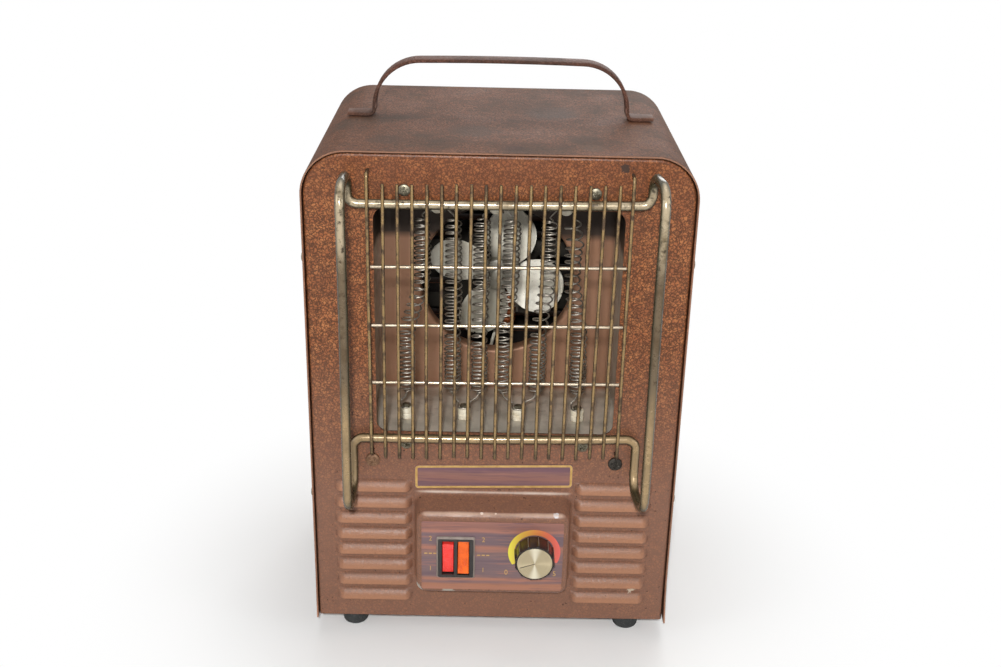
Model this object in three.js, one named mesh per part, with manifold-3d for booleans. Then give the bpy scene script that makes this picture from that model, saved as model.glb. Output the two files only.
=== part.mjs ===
// A small forced-air utility heater: sheet casing, wire guard, coil elements, fan and motor, controls.
// Millimetres, +Z up, the front faces -Y. Heights are taken from the floor and depths from the face of
// the front panel; the last lines move the whole object so that its origin is under its middle.
import * as THREE from 'three';
import { mergeVertices } from 'three/addons/utils/BufferGeometryUtils.js';
import Module from 'manifold-3d';

const wasm = await Module();
wasm.setup();

// ---- driving dimensions ----
const cabinetWidth = 260;
const cabinetTop = 371.6;
const cabinetDepth = 198.5;
const cabinetRadius = 30;
const sheet = 1.2;
const gap = 0.3; // running and seating clearance
const touch = gap / 3; // between flat faces that rest on each other
const past = 5; // cuts run this far past the metal
const lip = 1.5; // the wrapper stands this far past both panels
const skirt = 2.5; // the wrapper hangs this far below the panels
const flange = 14; // turned-back edge of both panels
const footHeight = 15;
const footRadius = 9.5;
const footInset = 16.5;
const footSide = 27; // from the casing's side to the middle of a foot

const windowHalf = 82.8;
const windowLow = 170;
const windowHigh = 334;
const windowRadius = 8;

const louvreCount = 8;
const louvrePitch = 13.1;
const louvreLow = 31.7;
const louvreHeight = 8.5;
const louvreDepth = 4.5;
const louvreInner = 58.3;
const louvreSide = 16; // bare panel beside the louvres

const boxHalf = 54.2; // control box, measured at its face
const boxDraft = 1.8;
const boxDepth = 20;
const boxLow = 49.5;
const boxHigh = 114.5;
const boxSlope = 6.8; // how far the top rises from the face to the panel
const boxCorner = 7;
const boxEdge = 3; // rounding between the box's sides and its face

const rodRadius = 3.175;
const wireRadius = 1.2;
const wirePitch = 9.525;
const innerWires = 17;
const crossLow = 168.4;
const crossHigh = 338.8;
const crossFront = 5; // rod centre ahead of the panel
const loopLow = 130.8;
const loopHigh = 360.6;
const loopHalf = 98.8;
const loopReach = 40;
const loopBend = 14.5; // at both ends of each side run
const rodCorner = 7;
const tieHeights = [212.2, 254.6, 296.4];
const wireLow = 151;
const wireHigh = 353;
const hookLow = 156;
const hookHigh = 359;
const hookDepth = 4;
const hookBend = 3;
const weldSink = 0.5; // wires are welded this deep into each other

const handleSpan = 179; // between the middles of the legs
const handleRise = 41.7;
const handleWidth = 16;
const handleThick = 2.5;
const handleRadius = 34;
const handleFootLength = 16;
const handleDepth = 100;
const handleCurl = 3;

const chamberHalf = 88;
const chamberBack = 88;
const chamberFloor = 166;
const chamberCeiling = 342;
const chamberRadius = 10;
const chamberFront = 2.7;
const inletRadius = 57;
const inletLip = 10;
const inletSides = 36;
const axisHeight = 252; // fan and motor
const tabHeight = 11;
const tabHalf = 76;

const coilRadius = 3.4;
const coilWire = 0.65;
const coilCurls = 14;
const curlSteps = 8;
const coilDepth = 36;
const coilLow = 183;
const coilHigh = 318;
const postXs = [-63.8, -22.4, 16.8, 59.7];
const postDepth = 31;
const postRadius = 4.8;
const postHeight = 8.5;
const postSides = 10;
const boltRadius = 2;
const boltHead = 3.2;
const boltHeadRise = 2.7;
const boltReach = 6; // below the chamber floor
// where each hairpin's two runs stand at the foot and at the top
const hairpins = [
  { feet: [-64.4, -31.4], tops: [-52.6, -31.6] },
  { feet: [-11.2, 10.8], tops: [-12.4, 8.1] },
  { feet: [27.4, 60.4], tops: [37.2, 54.0] },
];
const spoolRadius = 4.6;
const spoolGroove = 3.2;
const spoolLength = 9;
const spoolHeight = 325;
const railHalf = 76;
const railTab = 11;
const railFront = 4; // the rail reaches this far ahead of the coils
const tabEnd = 2; // its tabs reach this far below the spools

const fanRadius = 52;
const fanFront = 96.5; // face of the fan's hub
const fanClear = 1.8; // between the blades and the winding behind them
const hubRadius = 12;
const hubLength = 13;
const bladeCount = 4;
const bladePitch = 0.42;
const bladePhase = 1.22;
const bladeThick = 1.4;
const bladeCup = 2.5;
const shaftRadius = 2.5;
const shaftStub = 4; // past the motor's end plate
const hubCap = 3; // metal left over the shaft in the hub
const statorHalf = 30;
const statorThick = 18;
const statorDrop = 40; // its long limb hangs this far below the shaft
const statorRise = 20;
const rotorRadius = 13.6;
const limbThick = 10;
const windingWall = 8;
const windingHalf = 15;
const rotorSides = 20;
const notchGap = 2;
const cupWall = 3; // around the rear bearing
const cupDepth = 5;
const strapReach = 70;
const strapFoot = 12;
const strapHalf = 6;
const strapHeights = [axisHeight + 13, axisHeight - 30];

const knobX = 30;
const knobZ = 85.3;
const knobRadius = 14.5;
const knobHeight = 14;
const knobRibs = 12;
const ribDepth = 0.5;
const capRadius = 12.4;
const capThick = 1;
const capSeat = 0.5; // how deep the cap sits in the knob
const knobWall = 2.5; // left between the cap and the stem
const knobClear = 0.5; // between the knob and the label
const neckClear = 1.5;
const stemRadius = 3;
const labelThick = 0.3;
const labelGap = 0.1;

const switchX = -26.1;
const switchZ = 80.3;
const bezelWidth = 27.5;
const bezelHeight = 34.3;
const bezelProud = 2;
const rockerWidth = 8;
const rockerHeight = 26.4;
const rockerPitch = 11;
const rockerReach = 5.3;
const rockerHeel = 6; // half height of its narrow end behind the pivot
const rockerTilt = 8 * Math.PI / 180;
const rockerFit = 0.35;
const pivotDepth = 16.5;
const pocketFloor = 7.6; // behind the pivot
const switchBase = 6; // thickness behind the pockets

const labelCorner = 1.5;
const labelHalf = 50.5;
const labelLow = 53;
const labelHigh = 109.5;
const nameHalf = 56.4;
const nameLow = 125.7;
const nameHigh = 144.7;

const thermostatHalf = [14, 11];
const thermostatDepth = 22;
const neckRadius = 5; // its threaded neck
const neckReach = 1;
const stemDepth = 7.5;
const leadRadius = 1.3;
const leadRise = 8; // leads run straight this far where they end
const bushingReach = 6;

// ---- materials ----
function finish(color, roughness, metalness) {
  return new THREE.MeshStandardMaterial({ color, roughness, metalness });
}

const hammertone = finish(0x9c6248, 0.45, 0.3);
const steel = finish(0x9a8f7c, 0.4, 0.9);
const brassed = finish(0xa98f55, 0.4, 0.9);
const aluminised = finish(0xa39a88, 0.5, 0.7);
const ceramic = finish(0xe9e2cf, 0.5, 0);
const nichrome = finish(0x6d6a66, 0.45, 0.9);
const cream = finish(0xe4dfce, 0.5, 0.1);
const blackPlastic = finish(0x1f1c1a, 0.45, 0);
const redPlastic = finish(0xe23a32, 0.35, 0);
const amberPlastic = finish(0xdf6a10, 0.35, 0);
const rubber = finish(0x3a3a3c, 0.8, 0);
const laminated = finish(0x55585c, 0.6, 0.8);
const varnish = finish(0x8a4a20, 0.5, 0.2);
const decal = finish(0x6b4b48, 0.5, 0);
const champagne = finish(0xcfc3a0, 0.3, 0.9);
const leadCover = finish(0xd8d4c8, 0.7, 0);

const heater = new THREE.Group();

// ---- small tools ----
function place(name, geometry, material, x = 0, y = 0, z = 0) {
  const mesh = new THREE.Mesh(geometry, material);
  mesh.name = name;
  mesh.position.set(x, y, z);
  heater.add(mesh);
  return mesh;
}

function solid(geometry) {
  const bare = geometry.index ? geometry.clone() : geometry;
  bare.deleteAttribute('normal');
  bare.deleteAttribute('uv');
  const merged = mergeVertices(bare, 1e-4);
  return new wasm.Manifold(new wasm.Mesh({
    numProp: 3,
    vertProperties: new Float32Array(merged.attributes.position.array),
    triVerts: new Uint32Array(merged.index.array),
  }));
}

function skin(body) {
  const mesh = body.getMesh();
  const geometry = new THREE.BufferGeometry();
  geometry.setAttribute('position', new THREE.BufferAttribute(new Float32Array(mesh.vertProperties), 3));
  geometry.setIndex(new THREE.BufferAttribute(new Uint32Array(mesh.triVerts), 1));
  geometry.computeVertexNormals();
  return geometry;
}

function shaped(base, added, removed) {
  let body = solid(base);
  for (const piece of added) body = body.add(solid(piece));
  for (const piece of removed) body = body.subtract(solid(piece));
  return skin(body);
}

function box(x0, x1, y0, y1, z0, z1) {
  const block = new THREE.BoxGeometry(x1 - x0, y1 - y0, z1 - z0);
  return block.translate((x0 + x1) / 2, (y0 + y1) / 2, (z0 + z1) / 2);
}

// a cylinder between two places along one axis
function bar(axis, radius, from, to, a, b, sides = 16) {
  const round = new THREE.CylinderGeometry(radius, radius, to - from, sides);
  const middle = (from + to) / 2;
  if (axis === 'x') return round.rotateZ(-Math.PI / 2).translate(middle, a, b);
  if (axis === 'y') return round.translate(a, middle, b);
  return round.rotateX(Math.PI / 2).translate(a, b, middle);
}

// an outline in X and Z, given a thickness towards the back
function plateY(shape, front, thick, curveSegments = 4) {
  const plate = new THREE.ExtrudeGeometry(shape, { depth: thick, bevelEnabled: false, curveSegments });
  return plate.rotateX(Math.PI / 2).translate(0, front + thick, 0);
}

// an outline in Y and Z, given a width along X
function plateX(points, left, width) {
  const plate = new THREE.ExtrudeGeometry(polygon(points), { depth: width, bevelEnabled: false });
  const turn = new THREE.Matrix4().makeBasis(
    new THREE.Vector3(0, 1, 0),
    new THREE.Vector3(0, 0, 1),
    new THREE.Vector3(1, 0, 0),
  );
  return plate.applyMatrix4(turn).translate(left, 0, 0);
}

function polygon(points) {
  return new THREE.Shape(points.map(([a, b]) => new THREE.Vector2(a, b)));
}

function roundedRect(x0, x1, z0, z1, r) {
  const shape = new THREE.Shape();
  shape.absarc(x1 - r, z0 + r, r, -Math.PI / 2, 0, false);
  shape.absarc(x1 - r, z1 - r, r, 0, Math.PI / 2, false);
  shape.absarc(x0 + r, z1 - r, r, Math.PI / 2, Math.PI, false);
  shape.absarc(x0 + r, z0 + r, r, Math.PI, Math.PI * 1.5, false);
  shape.closePath();
  return shape;
}

// the casing's outline: square at the foot, rounded at the top
function archOutline(inset, low) {
  const half = cabinetWidth / 2 - inset;
  const r = cabinetRadius - inset;
  const top = cabinetTop - inset;
  const shape = new THREE.Shape();
  shape.moveTo(-half, low);
  shape.lineTo(half, low);
  shape.absarc(half - r, top - r, r, 0, Math.PI / 2, false);
  shape.absarc(r - half, top - r, r, Math.PI / 2, Math.PI, false);
  shape.closePath();
  return shape;
}

// a path whose own points are the only rings of the rod bent along it
class Route extends THREE.Curve {
  constructor(points, closed = false) {
    super();
    this.points = points;
    this.closed = closed;
  }

  getPoint(t) {
    const last = this.closed ? this.points.length : this.points.length - 1;
    return this.points[Math.round(t * last) % this.points.length].clone();
  }

  getPointAt(t) {
    return this.getPoint(t);
  }

  getTangentAt(t) {
    const count = this.points.length;
    const last = this.closed ? count : count - 1;
    const i = Math.round(t * last) % count;
    const before = this.closed ? this.points[(i + count - 1) % count] : this.points[Math.max(i - 1, 0)];
    const after = this.closed ? this.points[(i + 1) % count] : this.points[Math.min(i + 1, count - 1)];
    return after.clone().sub(before).normalize();
  }
}

function rod(points, radius, sides) {
  const section = new THREE.Shape();
  for (let i = 0; i < sides; i += 1) {
    const angle = (i + 0.5) * 2 * Math.PI / sides;
    const corner = [radius * Math.cos(angle), radius * Math.sin(angle)];
    if (i === 0) section.moveTo(...corner);
    else section.lineTo(...corner);
  }
  section.closePath();
  const extrudePath = new Route(points);
  return new THREE.ExtrudeGeometry(section, { steps: points.length - 1, extrudePath });
}

// points of an arc from one direction to another, in the plane of two unit vectors
function arc(centre, radius, u, v, from, to, steps) {
  const points = [];
  for (let i = 0; i <= steps; i += 1) {
    const angle = from + (to - from) * i / steps;
    points.push(centre.clone().addScaledVector(u, radius * Math.cos(angle))
      .addScaledVector(v, radius * Math.sin(angle)));
  }
  return points;
}

function turned(profile, sides) {
  return new THREE.LatheGeometry(profile.map(([r, h]) => new THREE.Vector2(r, h)), sides);
}

// rings with equal counts of points become one closed skin with flat ends
function loft(rings) {
  const count = rings[0].length;
  const positions = rings.flat().flatMap((p) => [p.x, p.y, p.z]);
  const index = [];
  for (let r = 0; r < rings.length - 1; r += 1) {
    for (let i = 0; i < count; i += 1) {
      const a = r * count + i;
      const b = r * count + (i + 1) % count;
      index.push(a, b, b + count, a, b + count, a + count);
    }
  }
  const end = (rings.length - 1) * count;
  for (let i = 1; i < count - 1; i += 1) {
    index.push(0, i + 1, i);
    index.push(end, end + i, end + i + 1);
  }
  const geometry = new THREE.BufferGeometry();
  geometry.setAttribute('position', new THREE.Float32BufferAttribute(positions, 3));
  geometry.setIndex(index);
  return geometry;
}

const X = new THREE.Vector3(1, 0, 0);
const Y = new THREE.Vector3(0, 1, 0);
const Z = new THREE.Vector3(0, 0, 1);
const at = (x, y, z) => new THREE.Vector3(x, y, z);

// ---- casing ----
const panelInset = sheet + gap; // panels sit inside the wrapper
const louvreOuter = cabinetWidth / 2 - louvreSide;
const footX = cabinetWidth / 2 - footSide;
const holeSides = 12;
const panelLow = footHeight;
const sideScrewHeights = [116, 296];
const sideScrewDepth = 8;
const screwShank = 1.9;
const screwHole = screwShank + gap;
const screwHead = 4;
const screwHeadRise = 2.2;
const screwSides = 8;
const screwLength = 4.5;
const panelScrews = [[-62.1, 161], [62.1, 161], [-62.1, 346], [62.1, 346]];
const guardScrews = [[-86, 147.5], [86, 147.5]];
const guardHead = 5;
const guardHeadRise = 2.8;
const sideHead = 3.4;
const backFace = cabinetDepth; // outer face of the rear panel

function makeWrapper() {
  const outer = plateY(archOutline(0, panelLow - skirt), -lip, cabinetDepth + 2 * lip);
  const inner = plateY(
    archOutline(sheet, panelLow - skirt - past), -lip - past, cabinetDepth + 2 * (lip + past),
  );
  const holes = sideScrewHeights.map((z) => bar(
    'x', screwHole, -cabinetWidth, cabinetWidth, sideScrewDepth, z, holeSides,
  ));
  place('cabinet_wrap', shaped(outer, [], [inner, ...holes]), hammertone);
}

// a panel with a flange all round its edge but the foot
function archPan(front, deep, faceAt) {
  const rim = plateY(archOutline(panelInset, panelLow), front, deep);
  const hollow = plateY(archOutline(panelInset + sheet, panelLow - past), front - past, deep + 2 * past);
  const face = plateY(archOutline(panelInset, panelLow), faceAt, sheet);
  return skin(solid(rim).subtract(solid(hollow)).add(solid(face)));
}

// a louvre's top slopes down from the panel to its brow, at these shares of its depth and height
const browReach = 0.8;
const browDrop = 0.3;

// one louvre: a hood pressed out of the panel, open below
function louvreHood(left, right, low, inset) {
  const top = low + louvreHeight - inset;
  const reach = louvreDepth - inset;
  const foot = inset ? low - gap : low;
  const back = inset ? sheet + past : sheet / 2;
  return plateX([
    [back, foot],
    [back, top],
    [0, top],
    [-reach * browReach, top - louvreHeight * browDrop],
    [-reach, foot],
  ], left + inset, right - left - 2 * inset);
}

const edgeTurn = 0.3; // where a quarter round passes its middle, as a share of its radius

// the box's outline at one depth
function boxRing(depth, grow) {
  const share = 1 + depth / boxDepth; // 1 at the panel, 0 at the face
  const half = boxHalf + boxDraft * share + grow;
  const low = boxLow - boxDraft * share - grow;
  const high = boxHigh + boxSlope * share + grow;
  const r = Math.max(boxCorner + grow, 1);
  const points = roundedRect(-half, half, low, high, r).getPoints(2);
  points.pop(); // the last point is the first again
  return points.map((p) => at(p.x, depth, p.y));
}

// the control box is pressed out of the panel; inset gives its inner skin
function controlBox(inset, back) {
  const face = -boxDepth + inset;
  return loft([
    boxRing(back, -inset),
    boxRing(0, -inset),
    boxRing(face + boxEdge, -inset),
    boxRing(face + boxEdge * edgeTurn, -inset - boxEdge * edgeTurn),
    boxRing(face, -inset - boxEdge),
  ]);
}

const bezelFit = 1.9; // the switch body stands this far inside its bezel
const bodyHalfX = bezelWidth / 2 - bezelFit - gap;
const bodyHalfZ = bezelHeight / 2 - bezelFit - gap;

function makeFrontPanel() {
  let body = solid(archPan(0, flange, 0));
  body = body.add(solid(controlBox(0, sheet / 2)));
  const added = [];
  const removed = [controlBox(sheet, sheet + 1)];
  for (const side of [-1, 1]) {
    const left = Math.min(side * louvreInner, side * louvreOuter);
    const right = Math.max(side * louvreInner, side * louvreOuter);
    for (let i = 0; i < louvreCount; i += 1) {
      const low = louvreLow + i * louvrePitch;
      added.push(louvreHood(left, right, low, 0));
      removed.push(louvreHood(left, right, low, sheet));
    }
  }
  const through = [-boxDepth - past, sheet + past];
  const window = roundedRect(-windowHalf, windowHalf, windowLow, windowHigh, windowRadius);
  removed.push(
    plateY(window, -past, sheet + 2 * past),
    box(switchX - bodyHalfX - gap, switchX + bodyHalfX + gap, ...through,
      switchZ - bodyHalfZ - gap, switchZ + bodyHalfZ + gap),
    bar('y', neckRadius + gap, ...through, knobX, knobZ),
  );
  for (const [x, z] of [...panelScrews, ...guardScrews]) {
    removed.push(bar('y', screwHole, -past, sheet + past, x, z, holeSides));
  }
  for (const side of [-1, 1]) {
    for (const z of [hookLow, hookHigh]) {
      removed.push(bar('y', wireRadius + gap, -past, sheet + past, side * hookX, z, holeSides));
    }
    const wall = side * (cabinetWidth / 2 - panelInset);
    for (const z of sideScrewHeights) {
      removed.push(bar('x', screwHole, wall - past, wall + past, sideScrewDepth, z, holeSides));
    }
  }
  for (const piece of added) body = body.add(solid(piece));
  for (const piece of removed) body = body.subtract(solid(piece));
  place('front_panel', skin(body), hammertone);
}

const slotColumns = [-42, 42];
const slotRows = 11;
const slotPitch = 14;
const slotLow = 165;
const slotHalf = 36;
const slotHeight = 5;
const glandX = 70;
const glandZ = 60;
const glandHole = 7;
const cordHole = 4.2;

function makeRearPanel() {
  const removed = [];
  for (const x of slotColumns) {
    for (let i = 0; i < slotRows; i += 1) {
      const z = slotLow + i * slotPitch;
      removed.push(box(x - slotHalf, x + slotHalf, backFace - past, backFace + past, z, z + slotHeight));
    }
  }
  removed.push(bar('y', glandHole, backFace - past, backFace + past, glandX, glandZ));
  const pan = archPan(backFace - flange, flange, backFace - sheet);
  place('rear_panel', shaped(pan, [], removed), hammertone);
}

const panHalf = cabinetWidth / 2 - panelInset - sheet - gap;
const panFront = sheet + gap;
const panBack = backFace - sheet - gap;
const panWall = 12;
const footHole = 4;
const footPlug = 2; // the plug stands this far above the pan
const footRound = 2;

function makeBasePan() {
  const floor = box(-panHalf, panHalf, panFront, panBack, panelLow, panelLow + sheet);
  const walls = [-panHalf, panHalf - sheet].map((x) => box(
    x, x + sheet, panFront, panBack, panelLow, panelLow + panWall,
  ));
  const [under, over] = [panelLow - past, panelLow + sheet + past];
  const holes = footPlaces.map(([, x, y]) => bar('z', footHole + gap, under, over, x, y, holeSides));
  place('base_pan', shaped(floor, walls, holes), hammertone);
}

const footPlaces = [
  ['foot_front_left', -footX, footInset],
  ['foot_front_right', footX, footInset],
  ['foot_rear_left', -footX, cabinetDepth - footInset],
  ['foot_rear_right', footX, cabinetDepth - footInset],
];

// a rubber foot: rounded at the floor, with a plug pushed up through the pan
function makeFeet() {
  const top = panelLow - touch;
  const plugTop = panelLow + sheet + footPlug;
  const profile = [
    [0, 0],
    [footRadius - footRound, 0],
    [footRadius - footRound * edgeTurn, footRound * edgeTurn],
    [footRadius, footRound],
    [footRadius, top],
    [footHole, top],
    [footHole, plugTop],
    [0, plugTop],
  ];
  for (const [name, x, y] of footPlaces) {
    place(name, turned(profile, holeSides).rotateX(Math.PI / 2), rubber, x, y);
  }
}

// a flat strap bent up from the wrapper, its two feet turned outwards
function makeHandle() {
  const low = cabinetTop + touch;
  const top = cabinetTop + handleRise;
  const half = handleSpan / 2 + handleThick / 2;
  const outer = [];
  const inner = [];
  const bend = (list, cx, cz, r, from, to, steps) => {
    for (let i = 0; i <= steps; i += 1) {
      const angle = from + (to - from) * i / steps;
      list.push([cx + r * Math.cos(angle), cz + r * Math.sin(angle)]);
    }
  };
  const turn = Math.PI / 2;
  const footBend = half + handleCurl;
  const footMiddle = low + handleThick + handleCurl;
  outer.push([half + handleFootLength, low], [half + handleFootLength, low + handleThick]);
  bend(outer, footBend, footMiddle, handleCurl, -turn, -2 * turn, 3);
  bend(outer, half - handleRadius, top - handleRadius, handleRadius, 0, turn, 7);
  bend(inner, half - handleRadius, top - handleRadius, handleRadius - handleThick, turn, 0, 7);
  bend(inner, footBend, footMiddle, handleCurl + handleThick, 2 * turn, 3 * turn, 3);
  const mirror = (list) => list.map(([x, z]) => [-x, z]).reverse();
  const profile = polygon([...outer, ...mirror(outer), ...mirror(inner), ...inner]);
  const strap = plateY(profile, handleDepth - handleWidth / 2, handleWidth);
  place('carry_handle', strap, hammertone);
}

// ---- guard ----
const wireDepth = -crossFront - rodRadius - wireRadius - labelGap;
const tieDepth = wireDepth + 2 * wireRadius - weldSink;
const hookX = (innerWires + 1) / 2 * wirePitch;

function makeGuardFrame() {
  const points = [];
  const legX = loopHalf;
  const back = -crossFront;
  const front = back - loopReach;
  // right side from the top rail round to the bottom rail, then the left side back up
  for (const side of [1, -1]) {
    const inward = X.clone().multiplyScalar(side);
    const high = [
      ...arc(at(side * (legX - rodCorner), back, crossHigh + rodCorner), rodCorner, inward, Z,
        -Math.PI / 2, 0, 3),
      ...arc(at(side * legX, back - loopBend, loopHigh - loopBend), loopBend, Y, Z, 0, Math.PI / 2, 3),
      ...arc(at(side * legX, front + loopBend, loopHigh - loopBend), loopBend, Y, Z,
        Math.PI / 2, Math.PI, 3),
    ];
    const low = [
      ...arc(at(side * legX, front + loopBend, loopLow + loopBend), loopBend, Y, Z,
        -Math.PI, -Math.PI / 2, 3),
      ...arc(at(side * legX, back - loopBend, loopLow + loopBend), loopBend, Y, Z, -Math.PI / 2, 0, 3),
      ...arc(at(side * (legX - rodCorner), back, crossLow - rodCorner), rodCorner, inward, Z,
        0, Math.PI / 2, 3),
    ];
    const whole = [...high, ...low];
    points.push(...(side > 0 ? whole : whole.reverse()));
  }
  const loop = new Route(points, true);
  place('guard_frame', new THREE.TubeGeometry(loop, points.length, rodRadius, 8, true), steel);
}

function makeGuardWires() {
  const sides = 6;
  const upright = (x) => rod([at(x, wireDepth, wireLow), at(x, wireDepth, wireHigh)], wireRadius, sides);
  const ties = tieHeights.map((z) => rod(
    [at(-hookX + wireRadius + gap, tieDepth, z), at(hookX - wireRadius - gap, tieDepth, z)],
    wireRadius, sides,
  ));
  const uprights = [];
  for (let i = 0; i < innerWires; i += 1) uprights.push(upright((i - (innerWires - 1) / 2) * wirePitch));
  place('guard_grille', shaped(uprights[0], [...ties, ...uprights.slice(1)], []), brassed);
  const bend = hookBend;
  for (const [name, side] of [['guard_wire_left', -1], ['guard_wire_right', 1]]) {
    const x = side * hookX;
    const route = [
      at(x, hookDepth, hookLow),
      ...arc(at(x, wireDepth + bend, hookLow + bend), bend, Y, Z, -Math.PI / 2, -Math.PI, 3),
      ...arc(at(x, wireDepth + bend, hookHigh - bend), bend, Y, Z, Math.PI, Math.PI / 2, 3),
      at(x, hookDepth, hookHigh),
    ];
    place(name, rod(route, wireRadius, 6), brassed);
  }
}

// ---- screws ----
// a pan head: an upright rim and a rounded crown
function screw(head, rise, length) {
  const rim = rise / 2;
  const crown = 0.7 * head;
  const profile = [
    [0, -length],
    [screwShank, -length],
    [screwShank, touch],
    [head, touch],
    [head, rim],
    [crown, rise * 0.9],
    [0, rise],
  ];
  return turned(profile, screwSides);
}

function makeScrews() {
  const panelNames = ['low_left', 'low_right', 'high_left', 'high_right'];
  panelScrews.forEach(([x, z], i) => {
    const geometry = screw(screwHead, screwHeadRise, screwLength).rotateX(Math.PI);
    place(`panel_screw_${panelNames[i]}`, geometry, steel, x, 0, z);
  });
  guardScrews.forEach(([x, z], i) => {
    const geometry = screw(guardHead, guardHeadRise, screwLength).rotateX(Math.PI);
    place(`guard_screw_${['left', 'right'][i]}`, geometry, steel, x, 0, z);
  });
  for (const [sideName, side] of [['left', -1], ['right', 1]]) {
    sideScrewHeights.forEach((z, i) => {
      const geometry = screw(sideHead, screwHeadRise, screwLength).rotateZ(-side * Math.PI / 2);
      const name = `cabinet_screw_${['low', 'high'][i]}_${sideName}`;
      place(name, geometry, steel, side * cabinetWidth / 2, sideScrewDepth, z);
    });
  }
}

// ---- heat chamber ----
const chamberLow = chamberFloor + gap;
const chamberHigh = chamberCeiling - gap;
const chamberOuter = chamberHalf + sheet;
const tabThick = 0.8;
const tabBack = chamberFront - gap;
const tabFront = tabBack - tabThick;

// a U in plan: two side walls and a back, rounded where they meet
function chamberBlock(half, back, radius, from, to) {
  const shape = new THREE.Shape();
  shape.moveTo(-half, chamberFront);
  shape.lineTo(half, chamberFront);
  shape.absarc(half - radius, back - radius, radius, 0, Math.PI / 2, false);
  shape.absarc(radius - half, back - radius, radius, Math.PI / 2, Math.PI, false);
  shape.closePath();
  const options = { depth: to - from, bevelEnabled: false, curveSegments: 2 };
  return new THREE.ExtrudeGeometry(shape, options).translate(0, 0, from);
}

function makeChamberWall() {
  const back = chamberBack + sheet;
  const [low, high] = [chamberLow - past, chamberHigh + past];
  const shell = chamberBlock(chamberOuter, back, chamberRadius + sheet, chamberLow, chamberHigh);
  const inside = chamberBlock(chamberHalf, chamberBack, chamberRadius, low, high);
  const mouth = box(-chamberHalf, chamberHalf, chamberFront - past, chamberFront + past, low, high);
  const lipBack = chamberBack + inletLip;
  const collar = bar('y', inletRadius + sheet, chamberBack, lipBack, 0, axisHeight, inletSides);
  const bore = bar('y', inletRadius, chamberBack - past, lipBack + past, 0, axisHeight, inletSides);
  const wall = solid(shell).subtract(solid(inside)).subtract(solid(mouth));
  place('chamber_wall', shaped(skin(wall), [collar], [bore]), aluminised);
}

// the floor and the ceiling are alike: a sheet with a tab that the panel screws bite into
function chamberPlate(name, low, tabLow, screwZ, boltXs) {
  const plate = box(-chamberOuter, chamberOuter, tabFront, chamberBack + sheet, low, low + sheet);
  const tab = box(-tabHalf, tabHalf, tabFront, tabBack, tabLow, tabLow + tabHeight);
  const screwHoles = panelScrews.slice(0, 2).map(([x]) => bar(
    'y', screwHole, chamberFront - past, chamberFront + past, x, screwZ, holeSides,
  ));
  const boltHoles = boltXs.map((x) => bar(
    'z', boltRadius + gap, low - past, low + past, x, postDepth, holeSides,
  ));
  place(name, shaped(plate, [tab], [...screwHoles, ...boltHoles]), aluminised);
}

function makeChamber() {
  const [[, lowScrew], , [, highScrew]] = panelScrews;
  makeChamberWall();
  chamberPlate('chamber_floor', chamberFloor - sheet, chamberFloor - tabHeight, lowScrew, postXs);
  chamberPlate('chamber_ceiling', chamberCeiling, chamberCeiling, highScrew, []);
}

// ---- heating elements ----
const postTop = chamberFloor + postHeight;
const boltEnd = chamberFloor - boltReach;
const spoolXs = hairpins.map(({ tops }) => (tops[0] + tops[1]) / 2);
const tabFace = coilDepth + spoolLength / 2 + gap;

function makeElementCarriers() {
  const seat = chamberCeiling - gap;
  const rail = box(-railHalf, railHalf, coilDepth - railFront, tabFace + sheet, seat - sheet, seat);
  const tabLow = spoolHeight - spoolRadius - tabEnd;
  const tabs = spoolXs.map((x) => box(
    x - railTab / 2, x + railTab / 2, tabFace, tabFace + sheet, tabLow, seat,
  ));
  place('element_rail', shaped(rail, tabs, []), aluminised);

  const lipWidth = 1.6;
  const slope = 1;
  const halfSpool = spoolLength / 2;
  const spool = [
    [0, -halfSpool],
    [spoolRadius, -halfSpool],
    [spoolRadius, -halfSpool + lipWidth],
    [spoolGroove, -halfSpool + lipWidth + slope],
    [spoolGroove, halfSpool - lipWidth - slope],
    [spoolRadius, halfSpool - lipWidth],
    [spoolRadius, halfSpool],
    [0, halfSpool],
  ];
  spoolXs.forEach((x, i) => {
    place(`ceramic_spool_${i + 1}`, turned(spool, postSides), ceramic, x, coilDepth, spoolHeight);
  });

  const foot = chamberFloor + touch;
  const hole = boltRadius + gap;
  const chamfer = 1;
  const headLow = postTop + touch;
  const post = [
    [hole, foot],
    [postRadius, foot],
    [postRadius, postTop - chamfer],
    [postRadius - chamfer, postTop],
    [hole, postTop],
    [hole, foot],
  ];
  const bolt = [
    [0, boltEnd],
    [boltRadius, boltEnd],
    [boltRadius, headLow],
    [boltHead, headLow],
    [boltHead, headLow + 0.8 * boltHeadRise],
    [0, headLow + boltHeadRise],
  ];
  postXs.forEach((x, i) => {
    place(`ceramic_post_${i + 1}`, turned(post, postSides).rotateX(Math.PI / 2), ceramic, x, postDepth);
    place(`terminal_bolt_${i + 1}`, turned(bolt, screwSides).rotateX(Math.PI / 2), steel, x, postDepth);
  });
}

const smooth = (t) => t * t * (3 - 2 * t);

// one run of curls: its middle line leans from foot to top between these shares of its height
const leanFrom = 0.3;
const leanTo = 0.7;

function curls(foot, top, upwards) {
  const points = [];
  const steps = coilCurls * curlSteps;
  for (let i = 0; i <= steps; i += 1) {
    const along = i / steps;
    const rise = upwards ? along : 1 - along;
    const lean = smooth(THREE.MathUtils.clamp((rise - leanFrom) / (leanTo - leanFrom), 0, 1));
    const ends = Math.min(1, along * coilCurls, (1 - along) * coilCurls);
    const angle = along * coilCurls * 2 * Math.PI * (upwards ? 1 : -1);
    const reach = coilRadius * smooth(ends);
    points.push(at(
      foot + (top - foot) * lean + reach * Math.cos(angle),
      coilDepth + reach * Math.sin(angle),
      coilLow + (coilHigh - coilLow) * rise,
    ));
  }
  return points;
}

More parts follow.
